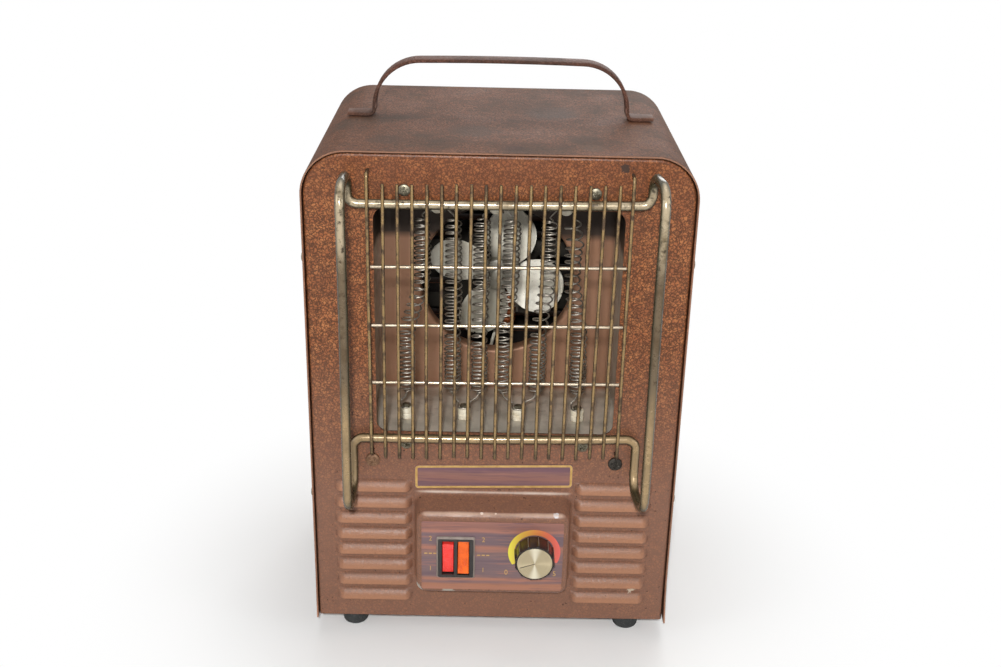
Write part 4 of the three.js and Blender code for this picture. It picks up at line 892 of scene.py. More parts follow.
def makeRearPanel():
    # pressed like the front, with two columns of hooded intake slots and the cord's hole
    rear = {"half": 128.5, "low": 15, "top": 370.1, "radius": 28.5, "thick": 1.2, "fold": 2.2, "flange": 14,
            "back": 198.5, "columns": (-42, 42), "rows": 11, "pitch": 14, "firstSlot": 165, "slotHalf": 36,
            "slotHigh": 5, "gland": (70, 60, 7.3)}
    fold, thick, back = rear["fold"], rear["thick"], rear["back"]
    holes = []
    for x in rear["columns"]:
        for i in range(rear["rows"]):
            z = rear["firstSlot"] + i * rear["pitch"]
            holes.append(roundedRect(x - rear["slotHalf"], x + rear["slotHalf"], z, z + rear["slotHigh"],
                                     2.4, 4))
    glandX, glandZ, glandRadius = rear["gland"]
    holes.append(arc((glandX, glandZ), glandRadius, 0, 345, 23))
    outline = archOutline(rear["half"] - fold, rear["low"], rear["top"] - fold, rear["radius"] - fold)
    plate = cutSheet("rearSheet", outline, holes, back - thick, thick)
    bend = [(fold - fold * math.sin(t), back - fold + fold * math.cos(t)) for t in quarter(5)]
    inside = [(0, back - rear["flange"]), (thick, back - rear["flange"]), (thick, back - fold - thick),
              (fold, back - thick)]
    rim = foldedRim(rear["half"], rear["low"], rear["top"], rear["radius"], bend + inside)
    # each slot has a hood over it that hangs lower than the slot, so that nothing can be poked or seen
    # straight in
    hoods = []
    for x in rear["columns"]:
        for i in range(rear["rows"]):
            points, faces = louvreHood(x - rear["slotHalf"] - 2, x + rear["slotHalf"] + 2,
                                       rear["firstSlot"] + i * rear["pitch"] - 2)
            hoods.append(([(-px, back - py, pz) for px, py, pz in points], faces))
    makePiece("rearPanel", join(plate, rim, *hoods), rearEnamel, ["rear_panel"], angle=38,
              pressed=True)


def makeBasePan():
    # a shallow tray between the panels, its sides turned up
    pan = {"thick": 1.2, "turn": 2.0}
    low, high = span("base_pan")
    thick, turn, right = pan["thick"], pan["turn"], high.x
    arcUp = arc((right - turn, low.z + turn), turn, -90, 0, 4)
    outer = [(-x, z) for x, z in reversed(arcUp)]
    outer = [(-right, high.z)] + outer + arcUp + [(right, high.z)]
    inner = [(x * (right - thick) / right, max(z, low.z + thick)) for x, z in reversed(outer)]
    ring = outer + inner
    rings = [[(x, y, z) for x, z in ring] for y in (low.y, high.y)]
    makePiece("basePan", loft(rings), rearEnamel, ["base_pan"], angle=30)


def makeHandle():
    # a flat strap bent over, with its two feet turned out and spot welded to the lid
    strap = {"leg": 89.5, "thick": 2.5, "width": 16, "round": 34, "top": 413.3, "seat": 371.9, "curl": 3,
             "foot": 16, "middle": 100, "crown": 0.7}
    half = strap["thick"] / 2
    seat = strap["seat"] + half
    curl = strap["curl"] + half
    r = strap["round"] - half
    top = strap["top"] - half - strap["crown"]
    right = [(strap["leg"] + curl + strap["foot"] - half, seat), (strap["leg"] + curl + 5, seat)]
    right += arc((strap["leg"] + curl, seat + curl), curl, 270, 180, 6)
    right += [(strap["leg"], seat + curl + 2)]
    right += arc((strap["leg"] - r, top - r), r, 0, 90, 14)
    middle = [(x, top + strap["crown"] * (1 - (x / (strap["leg"] - r)) ** 2))
              for x in (40, 25, 10, 0, -10, -25, -40)]
    path = right + middle + [(-x, z) for x, z in reversed(right)]
    wide = strap["width"] / 2
    section = roundedRect(-wide, wide, -half, half, 0.8, 3)
    rings = []
    for i, (x, z) in enumerate(path):
        before, after = path[max(i - 1, 0)], path[min(i + 1, len(path) - 1)]
        along = Vector((after[0] - before[0], after[1] - before[1])).normalized()
        out = Vector((along.y, -along.x))
        # the strap is rounded off at the ends of its feet
        end = min(i, len(path) - 1 - i)
        narrow = 0.72 if end == 0 else 1
        rings.append([(x + out.x * v, strap["middle"] + u * narrow, z + out.y * v) for u, v in section])
    makePiece("carryHandle", loft(rings), strapEnamel, ["carry_handle"], angle=40)


def makeFeet():
    # moulded rubber buttons, rounded at the floor, with a shoulder where the plug enters the pan
    foot = {"radius": 9.5, "height": 14.8}
    r, high = foot["radius"], foot["height"]
    profile = [(0.01, 0.6), (3.2, 0.6), (3.6, 0.0), (r - 3, 0.0)]
    profile += [(r - 3 + 3 * math.sin(t), 3 - 3 * math.cos(t)) for t in quarter(6)[1:]]
    profile += [(r, high * 0.5), (r - 0.15, high - 1.2), (r - 0.9, high - 0.2), (4, high), (4, high + 2.8),
                (0.01, high + 2.8)]
    for node in ("foot_front_left", "foot_front_right", "foot_rear_left", "foot_rear_right"):
        first, last = span(node)
        centre = ((first.x + last.x) / 2, (first.y + last.y) / 2, 0)
        makePiece(node + "_rubber", lathe(profile, "z", centre, 36), footRubber, [node],
                  angle=50)


makeFrontPanel()
makeWrapper()
makeRearPanel()
makeBasePan()
makeHandle()
makeFeet()
print("casing ready")


guard = {"rod": 3.175, "wire": 1.2, "pitch": 9.525, "wires": 17, "crossLow": 168.4, "crossHigh": 338.8,
         "crossFront": -5, "loopLow": 130.8, "loopHigh": 360.6, "loopHalf": 98.8, "reach": 40, "bend": 14.5,
         "corner": 7, "ties": (212.2, 254.6, 296.4), "splay": 3.3, "skew": 0.0115, "lean": 0.85,
         "middle": 250, "bowLow": -0.9, "bowHigh": -0.6, "wireLow": 154.6, "wireHigh": 353,
         "wireDepth": -9.475, "tieDepth": -7.575, "hookX": 85.725, "hooks": (156, 359), "hookDepth": 4,
         "hookBend": 3}


def turnedPath(points, radii, steps=8):
    # straight runs between corners, each corner rounded with its own radius; the path closes on itself
    path = []
    count = len(points)
    for i, (corner, radius) in enumerate(zip(points, radii)):
        here, before, after = Vector(corner), Vector(points[i - 1]), Vector(points[(i + 1) % count])
        u, v = (before - here).normalized(), (after - here).normalized()
        half = u.angle(v) / 2
        back = radius / math.tan(half)
        centre = here + (u + v).normalized() * radius / math.sin(half)
        start, end = here + u * back - centre, here + v * back - centre
        swing = start.angle(end)
        for k in range(steps + 1):
            t = swing * k / steps
            path.append(centre + (start * math.sin(swing - t) + end * math.sin(t)) / math.sin(swing))
    return path


def spaced(path, step):
    # extra points on the long runs of a closed path, so that small bends can be laid on them
    dense = []
    for i, a in enumerate(path):
        b = path[(i + 1) % len(path)]
        pieces = max(1, round((b - a).length / step))
        dense += [a.lerp(b, k / pieces) for k in range(pieces)]
    return dense


def makeGuardFrame():
    # one rod bent into a loop: two cross runs behind, two side runs that stand out in front
    half, back, front = guard["loopHalf"], guard["crossFront"], guard["crossFront"] - guard["reach"]
    bend, corner = guard["bend"], guard["corner"]
    ring, radii = [], []
    for side in (1, -1):
        stops = [((side * half, back, guard["crossHigh"]), corner),
                 ((side * half, back, guard["loopHigh"]), bend),
                 ((side * half, front, guard["loopHigh"]), bend),
                 ((side * half, front, guard["loopLow"]), bend),
                 ((side * half, back, guard["loopLow"]), bend),
                 ((side * half, back, guard["crossLow"]), corner)]
        for stop, radius in stops if side == 1 else reversed(stops):
            ring.append(stop)
            radii.append(radius)
    path = spaced(turnedPath(ring, radii), 9)
    settled = []
    for p in path:
        # the cross runs bow a little where hands have pressed on them
        bow = math.cos(math.pi * p.x / (2 * half)) if abs(p.x) < half else 0
        level = guard["bowLow"] if p.z < guard["middle"] else guard["bowHigh"]
        # the right side has been pushed outwards, and the whole guard sits a little skew
        out = guard["splay"] * ease((back - p.y) / guard["reach"]) if p.x > 0 else 0
        settled.append((p.x + out + 0.3 * math.sin(p.z / 47 + p.x), p.y,
                        p.z + level * bow + guard["skew"] * p.x))
    makePiece("guardRod", tube(settled, guard["rod"], 24, closed=True), rodPlate,
              ["guard_frame"], angle=60)


def weldBlob(x, y, z, size):
    # a flattened bead where two wires were welded
    profile = [(0.05, -1.0), (0.6, -0.82), (0.93, -0.4), (1.0, 0), (0.93, 0.4), (0.6, 0.82), (0.05, 1.0)]
    return lathe([(r * size, h * size * 0.8) for r, h in profile], "y", (x, y, z), 10)


def makeGuardWires():
    # upright wires laid over the cross runs and tied by three level wires behind them
    random.seed(7)
    r = guard["wire"]
    parts = []
    for i in range(guard["wires"]):
        x = (i - (guard["wires"] - 1) / 2) * guard["pitch"]
        lean, bow, drop = random.uniform(-0.5, 0.5), random.uniform(-0.3, 0.3), random.uniform(0, 1.2)
        path = []
        for k in range(25):
            t = k / 24
            z = guard["wireLow"] + drop + (guard["wireHigh"] - guard["wireLow"] - drop * 0.6) * t
            path.append((x + guard["lean"] * t + lean * (t - 0.5) + bow * math.sin(math.pi * t),
                         guard["wireDepth"], z + guard["skew"] * x))
        tip = (path[0][0], path[0][1], path[0][2] - 0.01)
        parts.append(tube([tip] + path, r, 14, taper=lambda t: 0.8 if t in (0, 1) else 1))
        # it is welded to the ties and to the rod's cross runs
        tieWelds = [(z, (guard["wireDepth"] + guard["tieDepth"]) / 2, r * 0.95) for z in guard["ties"]]
        crossWelds = [(z, guard["wireDepth"] + r * 0.75, r * 0.8)
                      for z in (guard["crossLow"], guard["crossHigh"])]
        for z, depth, size in tieWelds + crossWelds:
            share = (z - guard["wireLow"]) / (guard["wireHigh"] - guard["wireLow"])
            parts.append(weldBlob(x + guard["lean"] * share, depth, z + guard["skew"] * x, size))
    makePiece("guardWires", join(*parts), wirePlate, ["guard_grille"], angle=50)
    ties = []
    reach = guard["hookX"] - r - 0.3
    for z in guard["ties"]:
        lean = random.uniform(-0.5, 0.5)
        path = [(-reach + 2 * reach * k / 30, guard["tieDepth"], z + lean * (k / 30 - 0.5)
                 + guard["skew"] * reach * (k / 15 - 1)) for k in range(31)]
        ties.append(tube(path, r, 14))
    makePiece("guardTies", join(*ties), tiePlate, ["guard_grille"], angle=50)
    low, high = guard["hooks"]
    bend, depth = guard["hookBend"], guard["wireDepth"]
    for node, side in (("guard_wire_left", -1), ("guard_wire_right", 1)):
        x = side * guard["hookX"]
        path = [(guard["hookDepth"], low), (guard["hookDepth"] / 2, low)]
        path += arc((depth + bend, low + bend), bend, 270, 180, 6)
        path += [(depth, low + bend + (high - low - 2 * bend) * k / 12) for k in range(1, 12)]
        path += arc((depth + bend, high - bend), bend, 180, 90, 6)
        path += [(guard["hookDepth"] / 2, high), (guard["hookDepth"], high)]
        hook = tube([(x, y, z) for y, z in path], r, 14)
        makePiece("outerWireLeft" if side < 0 else "outerWireRight", hook, wirePlate, [node],
                  angle=50)


def screwHead(node, axis, outward, look, material):
    # a pan head with a cross recess; heights are counted outwards from the sheet
    low, high = span(node)
    middle = (low + high) / 2
    radius, rise, turn = look["radius"], look["rise"], math.radians(look["turn"])
    steps, around = 14, 40
    turns = [2 * math.pi * i / around for i in range(around)]
    rings = []
    for k in range(steps + 1):
        r = max(radius * 0.94 * k / steps, 0.02)
        ring = []
        for t in turns:
            u, v = r * math.cos(t + turn), r * math.sin(t + turn)
            arm, length = min(abs(u), abs(v)), max(abs(u), abs(v))
            cut = ease((look["slot"] - arm) / 0.25) * ease((radius * 0.62 - length) / 0.5)
            height = rise * (1 - 0.35 * (r / radius) ** 2) - cut * look["deep"]
            ring.append((r * math.cos(t), r * math.sin(t), height))
        rings.append(ring)
    for r, height in ((radius, rise * 0.5), (radius, 0.1), (radius * 0.5, 0.1), (radius * 0.45, -3.5)):
        rings.append([(r * math.cos(t), r * math.sin(t), height) for t in turns])
    if axis == "y":
        rings = [[(middle.x + a, outward * h, middle.z + b) for a, b, h in ring] for ring in rings]
    else:
        face = look["side"] * outward
        rings = [[(face + outward * h, middle.y + a, middle.z + b) for a, b, h in ring] for ring in rings]
    makePiece(node + "_head", loft(rings), material, [node], angle=50)


def makeScrews():
    # each screw was left at its own turn
    panel = {"radius": 4.0, "rise": 2.2, "slot": 0.55, "deep": 1.1}
    for i, node in enumerate(("panel_screw_low_left", "panel_screw_low_right", "panel_screw_high_left",
                              "panel_screw_high_right")):
        screwHead(node, "y", -1, {**panel, "turn": 20 + 33 * i}, screwZinc)
    washer = {"radius": 5.0, "rise": 2.6, "slot": 0.8, "deep": 0.9, "turn": 40}
    screwHead("guard_screw_left", "y", -1, washer, rustyScrew)
    screwHead("guard_screw_right", "y", -1, {**washer, "turn": 10}, darkScrew)
    side = {"radius": 3.4, "rise": 2.0, "slot": 0.5, "deep": 0.8, "side": 130}
    for i, name in enumerate(("low_left", "high_left", "low_right", "high_right")):
        screwHead("cabinet_screw_" + name, "x", -1 if "left" in name else 1, {**side, "turn": 15 + 40 * i},
                  screwZinc)


makeGuardFrame()
makeGuardWires()
makeScrews()
print("guard ready")


chamber = {"half": 88, "back": 88, "floor": 166, "ceiling": 342, "round": 10, "front": 2.7, "sheet": 1.2,
           "inlet": 57, "lip": 10, "axis": 252}


def makeChamber():
    # side walls and back from one sheet, bent round two corners, with a drawn collar round the fan's hole
    half, back, r, sheet = chamber["half"], chamber["back"], chamber["round"], chamber["sheet"]
    low, high = chamber["floor"] + 0.3, chamber["ceiling"] - 0.3
    parts = []
    for side in (-1, 1):
        def plan(offset):
            turn = arc((half - r, back - r), r + offset, 0, 90, 10)
            return [(side * x, y) for x, y in [(half + offset, chamber["front"])] + turn]
        inner, outer = plan(0), plan(sheet)
        ring = inner + outer[::-1]
        parts.append(loft([[(x, y, z) for x, y in ring] for z in (low, high)]))
    hole = arc((0, chamber["axis"]), chamber["inlet"] + 2.5, 0, 355, 71)
    outline = [(r - half, low), (half - r, low), (half - r, high), (r - half, high)]
    parts.append(cutSheet("chamberBack", outline, [hole], back, sheet))
    radius, bend, end = chamber["inlet"], 2.5, back + chamber["lip"]
    inside = [(radius + bend - bend * math.sin(t), back + bend - bend * math.cos(t)) for t in quarter(6)]
    outside = [(radius + sheet + (bend - sheet) * (1 - math.sin(t)),
                back + bend - (bend - sheet) * math.cos(t)) for t in reversed(quarter(4))]
    profile = inside + [(radius, end), (radius + sheet, end)] + outside
    parts.append(lathe(profile, "y", (0, 0, chamber["axis"]), 96, closed=True))
    makePiece("chamberWall", join(*parts), chamberSheet, ["chamber_wall"], angle=40)
    for node in ("chamber_floor", "chamber_ceiling", "element_rail"):
        finishNode(node, chamberSheet)


def finishNode(node, material):
    # a solid that stays shown gets a material of its own
    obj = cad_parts[node]
    obj.data.materials.clear()
    obj.data.materials.append(material)


coil = {"radius": 5.6, "wire": 0.58, "curls": 33, "depth": 36, "low": 183, "high": 318, "over": 4.15,
        "spoolZ": 325, "posts": (-63.8, -22.4, 16.8, 59.7), "postDepth": 31, "postTop": 174.5,
        "boltHead": 3.2}
hairpins = [
    {"feet": (-64.2, -31.1), "tops": (-52.6, -30.8), "spool": -42.1, "loose": 0},
    {"feet": (-11.9, 5.0), "tops": (-11.4, 9.1), "spool": -2.15, "loose": 0},
    {"feet": (29.6, 58.9), "tops": (35.2, 52.2), "spool": 45.6, "loose": 1},
]


def coilRun(foot, top, upwards, loose, seed):
    # curls about a middle line that leans half way up; the spacing and width of old curls wander
    random.seed(seed)
    wander = [random.uniform(-1, 1) for _ in range(12)]
    steps = coil["curls"] * 14
    points = []
    turns = 0.0
    for i in range(steps + 1):
        along = i / steps
        rise = along if upwards else 1 - along
        slack = loose * ease((rise - 0.72) / 0.2)
        lean = ease((rise - 0.3) / 0.4)
        ends = min(1, along * coil["curls"] / 1.2, (1 - along) * coil["curls"] / 1.2)
        k = rise * (len(wander) - 1.001)
        drift = wander[int(k)] * (1 - k % 1) + wander[int(k) + 1] * (k % 1)
        # tight where it leaves the post, drawn out half way up
        close = 1.26 - 0.5 * ease((rise - 0.12) / 0.25) + 0.32 * ease((rise - 0.62) / 0.2)
        turns += close * (1 + 0.2 * drift) * (1 - 0.5 * slack) * coil["curls"] / steps
        angle = turns * 2 * math.pi * (1 if upwards else -1) + (0 if upwards else math.pi)
        reach = (coil["radius"] + 0.3 * drift + 0.3 * slack) * ease(ends)
        sway = 1.1 * slack * math.sin(rise * 31) + 0.35 * drift
        points.append((foot + (top - foot) * lean + reach * math.cos(angle) + sway,
                       coil["depth"] + reach * math.sin(angle),
                       coil["low"] + (coil["high"] - coil["low"]) * rise))
    return points


def coilTail(post, foot):
    # from under the bolt's head to the first curl
    side = 1 if foot > post else -1
    beside = post + side * (coil["boltHead"] + 1)
    seat, depth = coil["postTop"] + 0.95, coil["postDepth"]
    hook = [(post - side * 1.0, depth - 4.3, seat), (post + side * 2.6, depth - 3.9, seat),
            (beside, depth - 1.5, seat), (beside, depth + 2, seat + 0.1),
            (beside + side * 0.2, coil["depth"] - 0.7, seat + 1.6)]
    return hook + [(foot + (beside - foot) * 0.3, coil["depth"], coil["low"] - 3.2)]


def rounded(points, steps=5):
    # a smooth line through given points
    line = []
    points = [Vector(p) for p in points]
    for i in range(len(points) - 1):
        a, b = points[max(i - 1, 0)], points[i]
        c, d = points[i + 1], points[min(i + 2, len(points) - 1)]
        for k in range(steps):
            t = k / steps
            line.append(0.5 * ((2 * b) + (c - a) * t + (2 * a - 5 * b + 4 * c - d) * t * t
                               + (3 * b - a - 3 * c + d) * t ** 3))
    return line + [points[-1]]


def makeCoils():
    # a tail from one post, curls up, a bridge over the spool, curls down, and a tail to the next post
    for i, pin in enumerate(hairpins):
        middle = pin["spool"]
        bridge = [(middle + coil["over"] * math.cos(t), coil["depth"],
                   coil["spoolZ"] + coil["over"] * math.sin(t))
                  for t in (math.pi * (1 - k / 12) for k in range(13))]
        path = rounded(coilTail(coil["posts"][i], pin["feet"][0]))
        path += [Vector(p) for p in coilRun(pin["feet"][0], pin["tops"][0], True, 0, 11 + i)]
        path += [Vector(p) for p in bridge]
        path += [Vector(p) for p in coilRun(pin["feet"][1], pin["tops"][1], False, pin["loose"], 21 + i)]
        path += rounded(coilTail(coil["posts"][i + 1], pin["feet"][1]))[::-1]
        makePiece(f"heatingCoil_{i + 1}", tube(path, coil["wire"], 7), nichrome,
                  [f"element_coil_{i + 1}"], angle=80)


def makeCeramics():
    # grooved posts with a six-sided bolt on each, and the spools that hold up the coils
    ceramic = {"post": 4.8, "spool": 4.6, "groove": 3.2, "spoolHalf": 4.5}
    for i, x in enumerate(coil["posts"]):
        low, high = span(f"ceramic_post_{i + 1}")
        r, foot, top = ceramic["post"], low.z, high.z
        profile = [(2.3, foot), (r - 0.3, foot), (r, foot + 0.3), (r, foot + 3.4), (r - 0.5, foot + 3.8),
                   (r - 0.5, foot + 4.3), (r, foot + 4.7), (r, top - 0.9), (r - 0.25, top - 0.35),
                   (r - 0.9, top), (2.6, top), (2.3, top - 0.3)]
        makePiece(f"ceramicPost_{i + 1}", lathe(profile, "z", (x, coil["postDepth"], 0), 32, closed=True),
                  steatite, [f"ceramic_post_{i + 1}"], angle=50)
        low, high = span(f"terminal_bolt_{i + 1}")
        shank = lathe([(0.02, low.z), (1.7, low.z), (2.0, low.z + 0.4), (2.0, coil["postTop"] + 0.2)], "z",
                      (x, coil["postDepth"], 0), 20)
        head = []
        for r, z in ((2.9, 0.1), (3.2, 0.35), (3.2, 1.9), (2.7, 2.3), (1.2, 2.5)):
            head.append([(x + r * math.cos(t), coil["postDepth"] + r * math.sin(t), coil["postTop"] + z)
                         for t in (math.pi / 3 * k + 0.3 * i for k in range(6))])
        makePiece(f"terminalBolt_{i + 1}", join(shank, loft(head)), screwZinc,
                  [f"terminal_bolt_{i + 1}"], angle=30)
    for i, pin in enumerate(hairpins):
        r, groove, half = ceramic["spool"], ceramic["groove"], ceramic["spoolHalf"]
        flank = [(0.02, -half), (r - 0.4, -half), (r, -half + 0.4), (r, -half + 1.2),
                 (r - 0.3, -half + 1.7)]
        flank += [(groove + 0.3, -half + 2.4), (groove, -half + 2.9)]
        profile = flank + [(radius, -y) for radius, y in reversed(flank)]
        centre = (pin["spool"], coil["depth"], coil["spoolZ"])
        makePiece(f"ceramicSpool_{i + 1}", lathe(profile, "y", centre, 32), steatite,
                  [f"ceramic_spool_{i + 1}"], angle=50)


def blade(turn, fan):
    # a pressed petal: broad, pitched, slightly cupped, its rim rounded
    across, along, root = 20, 20, fan["hub"] - 2

    def surface(u, v, side):
        r = root + (fan["radius"] - root) * math.sin(u * math.pi / 2)
        past = (r - fan["widest"]) / (fan["radius"] - fan["widest"])
        wide = fan["broad"] * math.sqrt(max(1 - past ** 2.4, 0.002)) if past > 0 else (
            fan["broad"] - (fan["broad"] - 8) * ((fan["widest"] - r) / (fan["widest"] - root)) ** 1.7)
        half = math.atan(wide / r)
        reach = r * (1 + 0.04 * v * (1 - u))
        edge = min(1, (1 - abs(v)) * 14 + 0.25, (1 - u) * 14 + 0.25)
        cup = fan["cup"] * u * (1 - v * v)
        depth = reach * math.sin(v * half) * fan["pitch"] + cup + side * fan["thick"] / 2 * edge
        swing = turn + v * half
        return (reach * math.cos(swing), fan["middle"] + depth, chamber["axis"] + reach * math.sin(swing))

    vs = [math.sin(math.pi / 2 * (2 * j / across - 1)) for j in range(across + 1)]
    rings = []
    for i in range(along + 1):
        u = i / along
        rings.append([surface(u, v, 1) for v in vs] + [surface(u, v, -1) for v in reversed(vs)])
    return loft(rings)


def makeFan():
    # four blades on a pressed hub
    fan = {"radius": 52, "hub": 12, "pitch": 0.42, "cup": 2.5, "thick": 1.3, "phase": 1.25, "front": 96.5,
           "long": 13, "middle": 103.0, "widest": 33, "broad": 21.5}
    front, back = fan["front"], fan["front"] + fan["long"]
    hub = [(0.02, front), (4.0, front), (4.6, front + 0.5), (5.2, front + 1.6), (10.2, front + 1.6),
           (11.6, front + 2.3), (12, front + 3.6), (12, back - 1), (11.2, back), (2.8, back),
           (2.8, back - 8), (0.02, back - 8)]
    parts = [lathe(hub, "y", (0, 0, chamber["axis"]), 56)]
    parts += [blade(fan["phase"] + k * math.pi / 2, fan) for k in range(4)]
    makePiece("fanBlade", join(*parts), fanEnamel, ["fan_blade"], body="fan", angle=45)


def makeMotor():
    # the motor's plain solids stay shown with their own finishes; the winding is made anew
    for node, material, slot in (
            ("motor_rotor", motorSteel, "motor_steel"), ("motor_stator", laminatedSteel, "motor_steel"),
            ("motor_bracket", motorSteel, "motor_steel"), ("motor_end_plate", motorSteel, "motor_steel")):
        finishNode(node, material)
    # the winding's layers stand out as level ridges round a bobbin
    low, high = span("motor_winding")
    middle = (low + high) / 2
    rings = []
    layers = 9
    for k in range(layers * 6 + 1):
        t = k / (layers * 6)
        z = low.z + (high.z - low.z) * t
        swell = 0.35 * abs(math.sin(t * math.pi * layers)) + 1.2 * min(1, 8 * t, 8 * (1 - t)) - 1.55
        halfX, halfY = (high.x - low.x) / 2 + swell, (high.y - low.y) / 2 + swell
        rings.append([(middle.x + a, middle.y + b, z)
                      for a, b in roundedRect(-halfX, halfX, -halfY, halfY, 5, 5)])
    makePiece("motorWinding", loft(rings), windingVarnish, ["motor_winding"], angle=70)


def makeLeads():
    # glass-sleeved leads from the switch to an element and to the motor
    lead = {"radius": 1.3, "tabs": (-20.6, -31.6), "tabZ": 80.3}
    low, high = span("element_lead")
    switchBack, switchZ, boltLow = low.y, lead["tabZ"], high.z
    postX, postY = coil["posts"][0], coil["postDepth"]
    elementTab, motorTab = lead["tabs"]
    runs = {
        "element_lead": [(elementTab, switchBack, switchZ), (elementTab, switchBack + 4, switchZ),
                         ((elementTab + postX) / 2, (switchBack + postY) / 2, (switchZ + boltLow) / 2),
                         (postX, postY, boltLow - 8), (postX, postY, boltLow)],
    }
    low, high = span("motor_lead")
    windingY = high.y - 1.3
    runs["motor_lead"] = [(motorTab, switchBack, switchZ), (motorTab, switchBack + 4, switchZ),
                          (motorTab, windingY / 2, (switchZ + 15) / 1.1), (0, windingY, high.z - 8),
                          (0, windingY, high.z)]
    for node, points in runs.items():
        sleeve = tube(rounded(points, 10), lead["radius"], 14)
        makePiece(node + "_sleeve", sleeve, sleeveGlass, [node], angle=60)


def makeInnerTrim():
    # the heat limiter keeps its shape; the cord's bushing gets its rounded flange
    finishNode("heat_limiter", mouldedBlack)
    low, high = span("cord_bushing")
    centre = ((low.x + high.x) / 2, 0, (low.z + high.z) / 2)
    face = high.y - 6
    profile = [(4.2, low.y), (6.3, low.y), (6.7, low.y + 0.5), (6.7, face), (9.6, face), (10, face + 0.4),
               (9.9, face + 2.0), (9.2, face + 3.0), (7.2, face + 3.9), (6.0, high.y - 0.4), (5.5, high.y),
               (4.5, high.y), (4.2, high.y - 0.4)]
    makePiece("cordBushing", lathe(profile, "y", centre, 40, closed=True), mouldedBlack,
              ["cord_bushing"], angle=40)


makeChamber()
makeCoils()
makeCeramics()
makeFan()
makeMotor()
makeLeads()
makeInnerTrim()
print("inside ready")


label = {"half": 50.5, "low": 53, "high": 109.5, "corner": 1.5, "back": -20.1, "thick": 0.3}
switch = {"x": -26.1, "z": 80.3, "bezel": (12.65, 15.9), "foot": (13.75, 17.1), "proud": 2.0,
          "body": (11.75, 15.1), "pocket": (4.35, 14.0), "floor": -8.9, "back": -2.9, "pivot": -16.5,
          "pitch": 11, "tilt": 8}
dial = {"x": 30.0, "z": 85.3, "outer": 18.7, "inner": 14.3, "bore": 5.2, "from": -31, "to": 217}
labelFront = label["back"] - label["thick"]
inkFront, inkThick = labelFront - 0.06, 0.09


def frameOutline(x, z, half, r, steps=6):
    # a rounded rectangle about its middle
    return roundedRect(x - half[0], x + half[0], z - half[1], z + half[1], r, steps)


def makeFilms():
    # the woodgrain label on the control box, and the bare strip above it with its gold border
    film = roundedRect(-label["half"], label["half"], label["low"], label["high"], label["corner"])
    holes = [frameOutline(switch["x"], switch["z"], switch["body"], 0.6),
             arc((dial["x"], dial["z"]), dial["bore"], 0, 352.5, 47)]
    makePiece("controlLabel", cutSheet("controlLabel", film, holes, labelFront, label["thick"], 0.06),
              grainFilm, ["control_label"])
    # the strip was stuck on a little skew, its right end higher
    strip = {"half": 56.4, "low": 125.7, "high": 144.7, "line": 1.7, "round": 2.4, "skew": 0.024}

    def skewed(points):
        return [(x, z + strip["skew"] * x) for x, z in points]
    outline = roundedRect(-strip["half"], strip["half"], strip["low"], strip["high"], strip["round"])
    makePiece("nameStrip", cutSheet("nameStrip", skewed(outline), [], -0.4, 0.3, 0.06), stripFilm,
              ["name_strip"])
    edge, line = 0.35, strip["line"]  # the gold line stands a little inside the edge
    outer = roundedRect(edge - strip["half"], strip["half"] - edge, strip["low"] + edge,
                        strip["high"] - edge, strip["round"])
    inner = roundedRect(line + edge - strip["half"], strip["half"] - line - edge,
                        strip["low"] + line + edge, strip["high"] - line - edge, 0.9)
    makePiece("goldBorder", cutSheet("goldBorder", skewed(outer), [skewed(inner)], -0.46, 0.09, 0.02),
              goldInk)


def printed(name, text, x, z, height):
    # a plain numeral in flat ink, a little narrow; its height is a share of the font's size
    share, narrow = 0.72, 0.86
    curve = bpy.data.curves.new(name, "FONT")
    curve.body = text
    curve.size = height / share * mm
    curve.align_x = "CENTER"
    curve.align_y = "CENTER"
    curve.resolution_u = 4
    curve.extrude = inkThick / 2 * mm
    points, faces = flatSkin(curve, inkFront, inkThick)
    return [(x + px * narrow, y, z + pz) for px, y, pz in points], faces


def makeMarks():
    # plain numbers beside the switches and the dial, a short bar between each pair
    marks = [("2", -44.2, 95.4, 4.0), ("1", -44.2, 70.4, 4.0), ("2", -6.4, 94.9, 4.0),
             ("1", -6.4, 69.6, 4.0), ("0", 10.2, 68.0, 4.3), ("5", 45.0, 67.4, 4.3)]
    parts = [printed(f"numeral_{i + 1}", *mark) for i, mark in enumerate(marks)]
    for x, z in ((-44.2, 83.1), (-6.4, 82.1)):
        for side in (-1.7, 0, 1.7):
            parts.append(cutSheet("bar", frameOutline(x + side * 1.9, z, (1.15, 0.45), 0.2, 3), [],
                                  inkFront, inkThick))
    makePiece("printedNumbers", join(*parts), goldInk)
    ring = arc((dial["x"], dial["z"]), dial["outer"], dial["from"] + 3, dial["to"] - 3, 72)
    ring += arc((dial["x"], dial["z"]), dial["inner"], dial["to"], dial["from"], 60)
    makePiece("dialRing", cutSheet("dialRing", ring, [], inkFront, inkThick), ringInk)


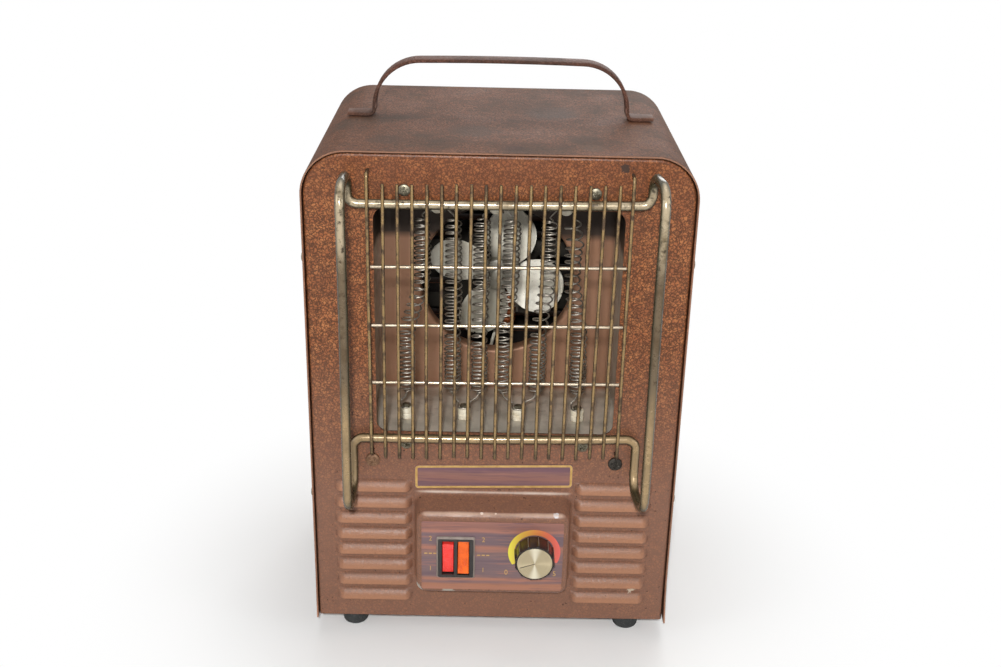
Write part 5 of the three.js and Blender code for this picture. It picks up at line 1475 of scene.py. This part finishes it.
def makeSwitch():
    # a black housing with two pockets for the rockers, tabs behind and a sloping border in front
    x, z, front = switch["x"], switch["z"], labelFront - switch["proud"]
    pockets = [frameOutline(x + side * switch["pitch"] / 2, z, switch["pocket"], 0.5, 4)
               for side in (-1, 1)]
    rim = labelFront - 0.05
    parts = [cutSheet("bezel", frameOutline(x, z, switch["bezel"], 1.0), pockets, front, rim - front, 0.2),
             cutSheet("body", frameOutline(x, z, switch["body"], 0.8), pockets, rim - 0.05,
                      switch["floor"] - rim + 0.1),
             cutSheet("back", frameOutline(x, z, switch["body"], 0.8), [], switch["floor"],
                      switch["back"] - switch["floor"])]
    for side in (-1, 1):
        for height in (-5, 5):
            cx, cz = x + side * switch["pitch"] / 2, z + height
            tab = [(cx - 0.4, cz - 3), (cx + 0.4, cz - 3), (cx + 0.4, cz + 3), (cx - 0.4, cz + 3)]
            parts.append(cutSheet("tab", tab, [], switch["back"] - 0.2, 0.2))
    makePiece("switchHousing", join(*parts), mouldedBlack, ["switch_housing"], angle=30)
    # the bezel's sloping border catches the light all round
    rings = []
    for grow, y in ((0, rim), (0, rim - 0.5), (0.12, rim - 0.75), (0.86, front + 0.18),
                    (0.98, front + 0.02), (1, front + 0.6), (1, rim)):
        half = [f + (b - f) * grow for f, b in zip(switch["foot"], switch["bezel"])]
        rings.append([(a, y, b) for a, b in frameOutline(x, z, half, 1.6 - 0.6 * grow)])
    makePiece("bezelBorder", grid(rings, closedRow=True, closedAlong=True), borderAbs,
              angle=25)


def makeRocker(name, node, body, material, side):
    # a paddle with a crease near its raised end; side is 1 where the top stands out
    paddle = {"half": 12.9, "width": 4.0, "reach": 5.3, "dip": 1.5, "heel": 6.0, "deep": 6.0,
              "crease": 0.24}
    half, reach, dip, heel = paddle["half"], paddle["reach"], paddle["dip"], paddle["heel"]
    deep, width = paddle["deep"], paddle["width"]
    crease = half - paddle["crease"] * 2 * half
    face = [(-reach, half), (-reach + dip * 0.55, (half + crease) / 2), (-reach + dip, crease)]
    face += [(-reach + dip - 0.25, crease - 1.2), (-reach + dip * 0.55, -half * 0.3),
             (-reach + dip * 0.3, -half)]
    profile = [(y, side * z) for y, z in face]
    profile += [(0.5, -side * (half - 0.3)), (deep, -side * heel), (deep, side * heel),
                (0.5, side * (half - 0.3))]
    tilt = side * math.radians(switch["tilt"])
    x = switch["x"] + (-1 if node == "rocker_fan" else 1) * switch["pitch"] / 2
    rings = []
    for across in (-width, width):
        rings.append([(x + across, switch["pivot"] + y * math.cos(tilt) - z * math.sin(tilt),
                       switch["z"] + y * math.sin(tilt) + z * math.cos(tilt)) for y, z in profile])
    makePiece(name, loft(rings), material, [node], body=body, angle=30, bevel=0.45)


def makeKnob():
    # a fluted moulding with a spun cap let into its face and a line to point with
    knob = {"radius": 14.5, "long": 14, "flutes": 12, "deep": 1.0, "ridge": 0.1, "turn": 10.3, "cap": 12.4,
            "back": labelFront - 0.5, "steps": 20, "pointer": 198.5}
    count = knob["flutes"] * knob["steps"]
    back, front = knob["back"], knob["back"] - knob["long"]

    def ring(radius, y, fluted):
        points = []
        for i in range(count):
            t = i / knob["steps"] % 1
            near = min(t, 1 - t)
            flute = ease((near - knob["ridge"] / 2) / 0.09) * knob["deep"] * fluted
            angle = math.radians(90 - knob["turn"]) + i / count * 2 * math.pi
            r = radius - flute
            points.append((dial["x"] + r * math.cos(angle), y, dial["z"] + r * math.sin(angle)))
        return points
    r, cap = knob["radius"], knob["cap"]
    rings = [ring(3.1, back - 10.4, 0), ring(3.1, back - 1.8, 0), ring(6.4, back - 1.8, 0),
             ring(6.4, back, 0), ring(r - 0.5, back, 0.4), ring(r, back - 0.5, 1), ring(r, back - 4, 1),
             ring(r - 0.15, front + 1.2, 1), ring(r - 0.3, front + 0.5, 0.8),
             ring(r - 0.75, front + 0.08, 0.4), ring(r - 1.1, front, 0.1), ring(cap + 0.25, front, 0),
             ring(cap + 0.1, front + 0.12, 0), ring(cap + 0.1, front + 0.5, 0)]
    makePiece("thermostatKnob", loft(rings), knobGloss, ["control_knob"], body="knob",
              angle=35)
    # the ridges between the flutes carry pale strips, painted as highlights
    ridges = []
    for i in range(knob["flutes"]):
        angle = math.radians(90 - knob["turn"]) + i / knob["flutes"] * 2 * math.pi
        along, over = (math.cos(angle), math.sin(angle)), (-math.sin(angle), math.cos(angle))
        rings = []
        for y, reach in ((back - 1.5, r), (back - 4, r + 0.03), (front + 1.3, r - 0.12),
                         (front + 0.6, r - 0.3)):
            section = [(reach - 0.4, -0.4), (reach + 0.06, -0.22), (reach + 0.08, 0.22), (reach - 0.4, 0.4)]
            rings.append([(dial["x"] + a * along[0] + b * over[0], y,
                           dial["z"] + a * along[1] + b * over[1]) for a, b in section])
        ridges.append(loft(rings))
    makePiece("knobRidges", join(*ridges), ridgeHighlight, body="knob", angle=40)
    low, high = span("knob_cap")
    disc = [(0.02, high.y - 0.06), (cap - 0.2, high.y - 0.06), (cap, high.y - 0.26), (cap, low.y + 0.3),
            (cap - 0.12, low.y + 0.12), (cap - 0.5, low.y), (cap - 1.0, low.y + 0.02),
            (cap - 1.5, low.y + 0.1), (4, low.y + 0.13), (0.02, low.y + 0.14)]
    makePiece("spunCap", lathe(disc, "y", (dial["x"], 0, dial["z"]), 96), capMetal,
              ["knob_cap"], body="knob", angle=30)
    angle = math.radians(knob["pointer"])
    along, over = (math.cos(angle), math.sin(angle)), (-math.sin(angle), math.cos(angle))
    line = [(dial["x"] + r * along[0] + w * over[0], dial["z"] + r * along[1] + w * over[1])
            for r, w in ((0, -0.2), (10.6, -0.3), (11.3, 0), (10.6, 0.3), (0, 0.2), (-0.3, 0))]
    makePiece("pointerLine", cutSheet("pointerLine", line, [], low.y + 0.04, 0.12), darkInk,
              body="knob")


makeFilms()
makeMarks()
makeSwitch()
makeRocker("fanRocker", "rocker_fan", "fan_rocker", redLens, 1)
makeRocker("heatRocker", "rocker_heat", "heat_rocker", amberLens, -1)
makeKnob()
finishNode("thermostat_body", mouldedBlack)
finishNode("thermostat_stem", screwZinc)
print("controls ready")


print("pieces ready")
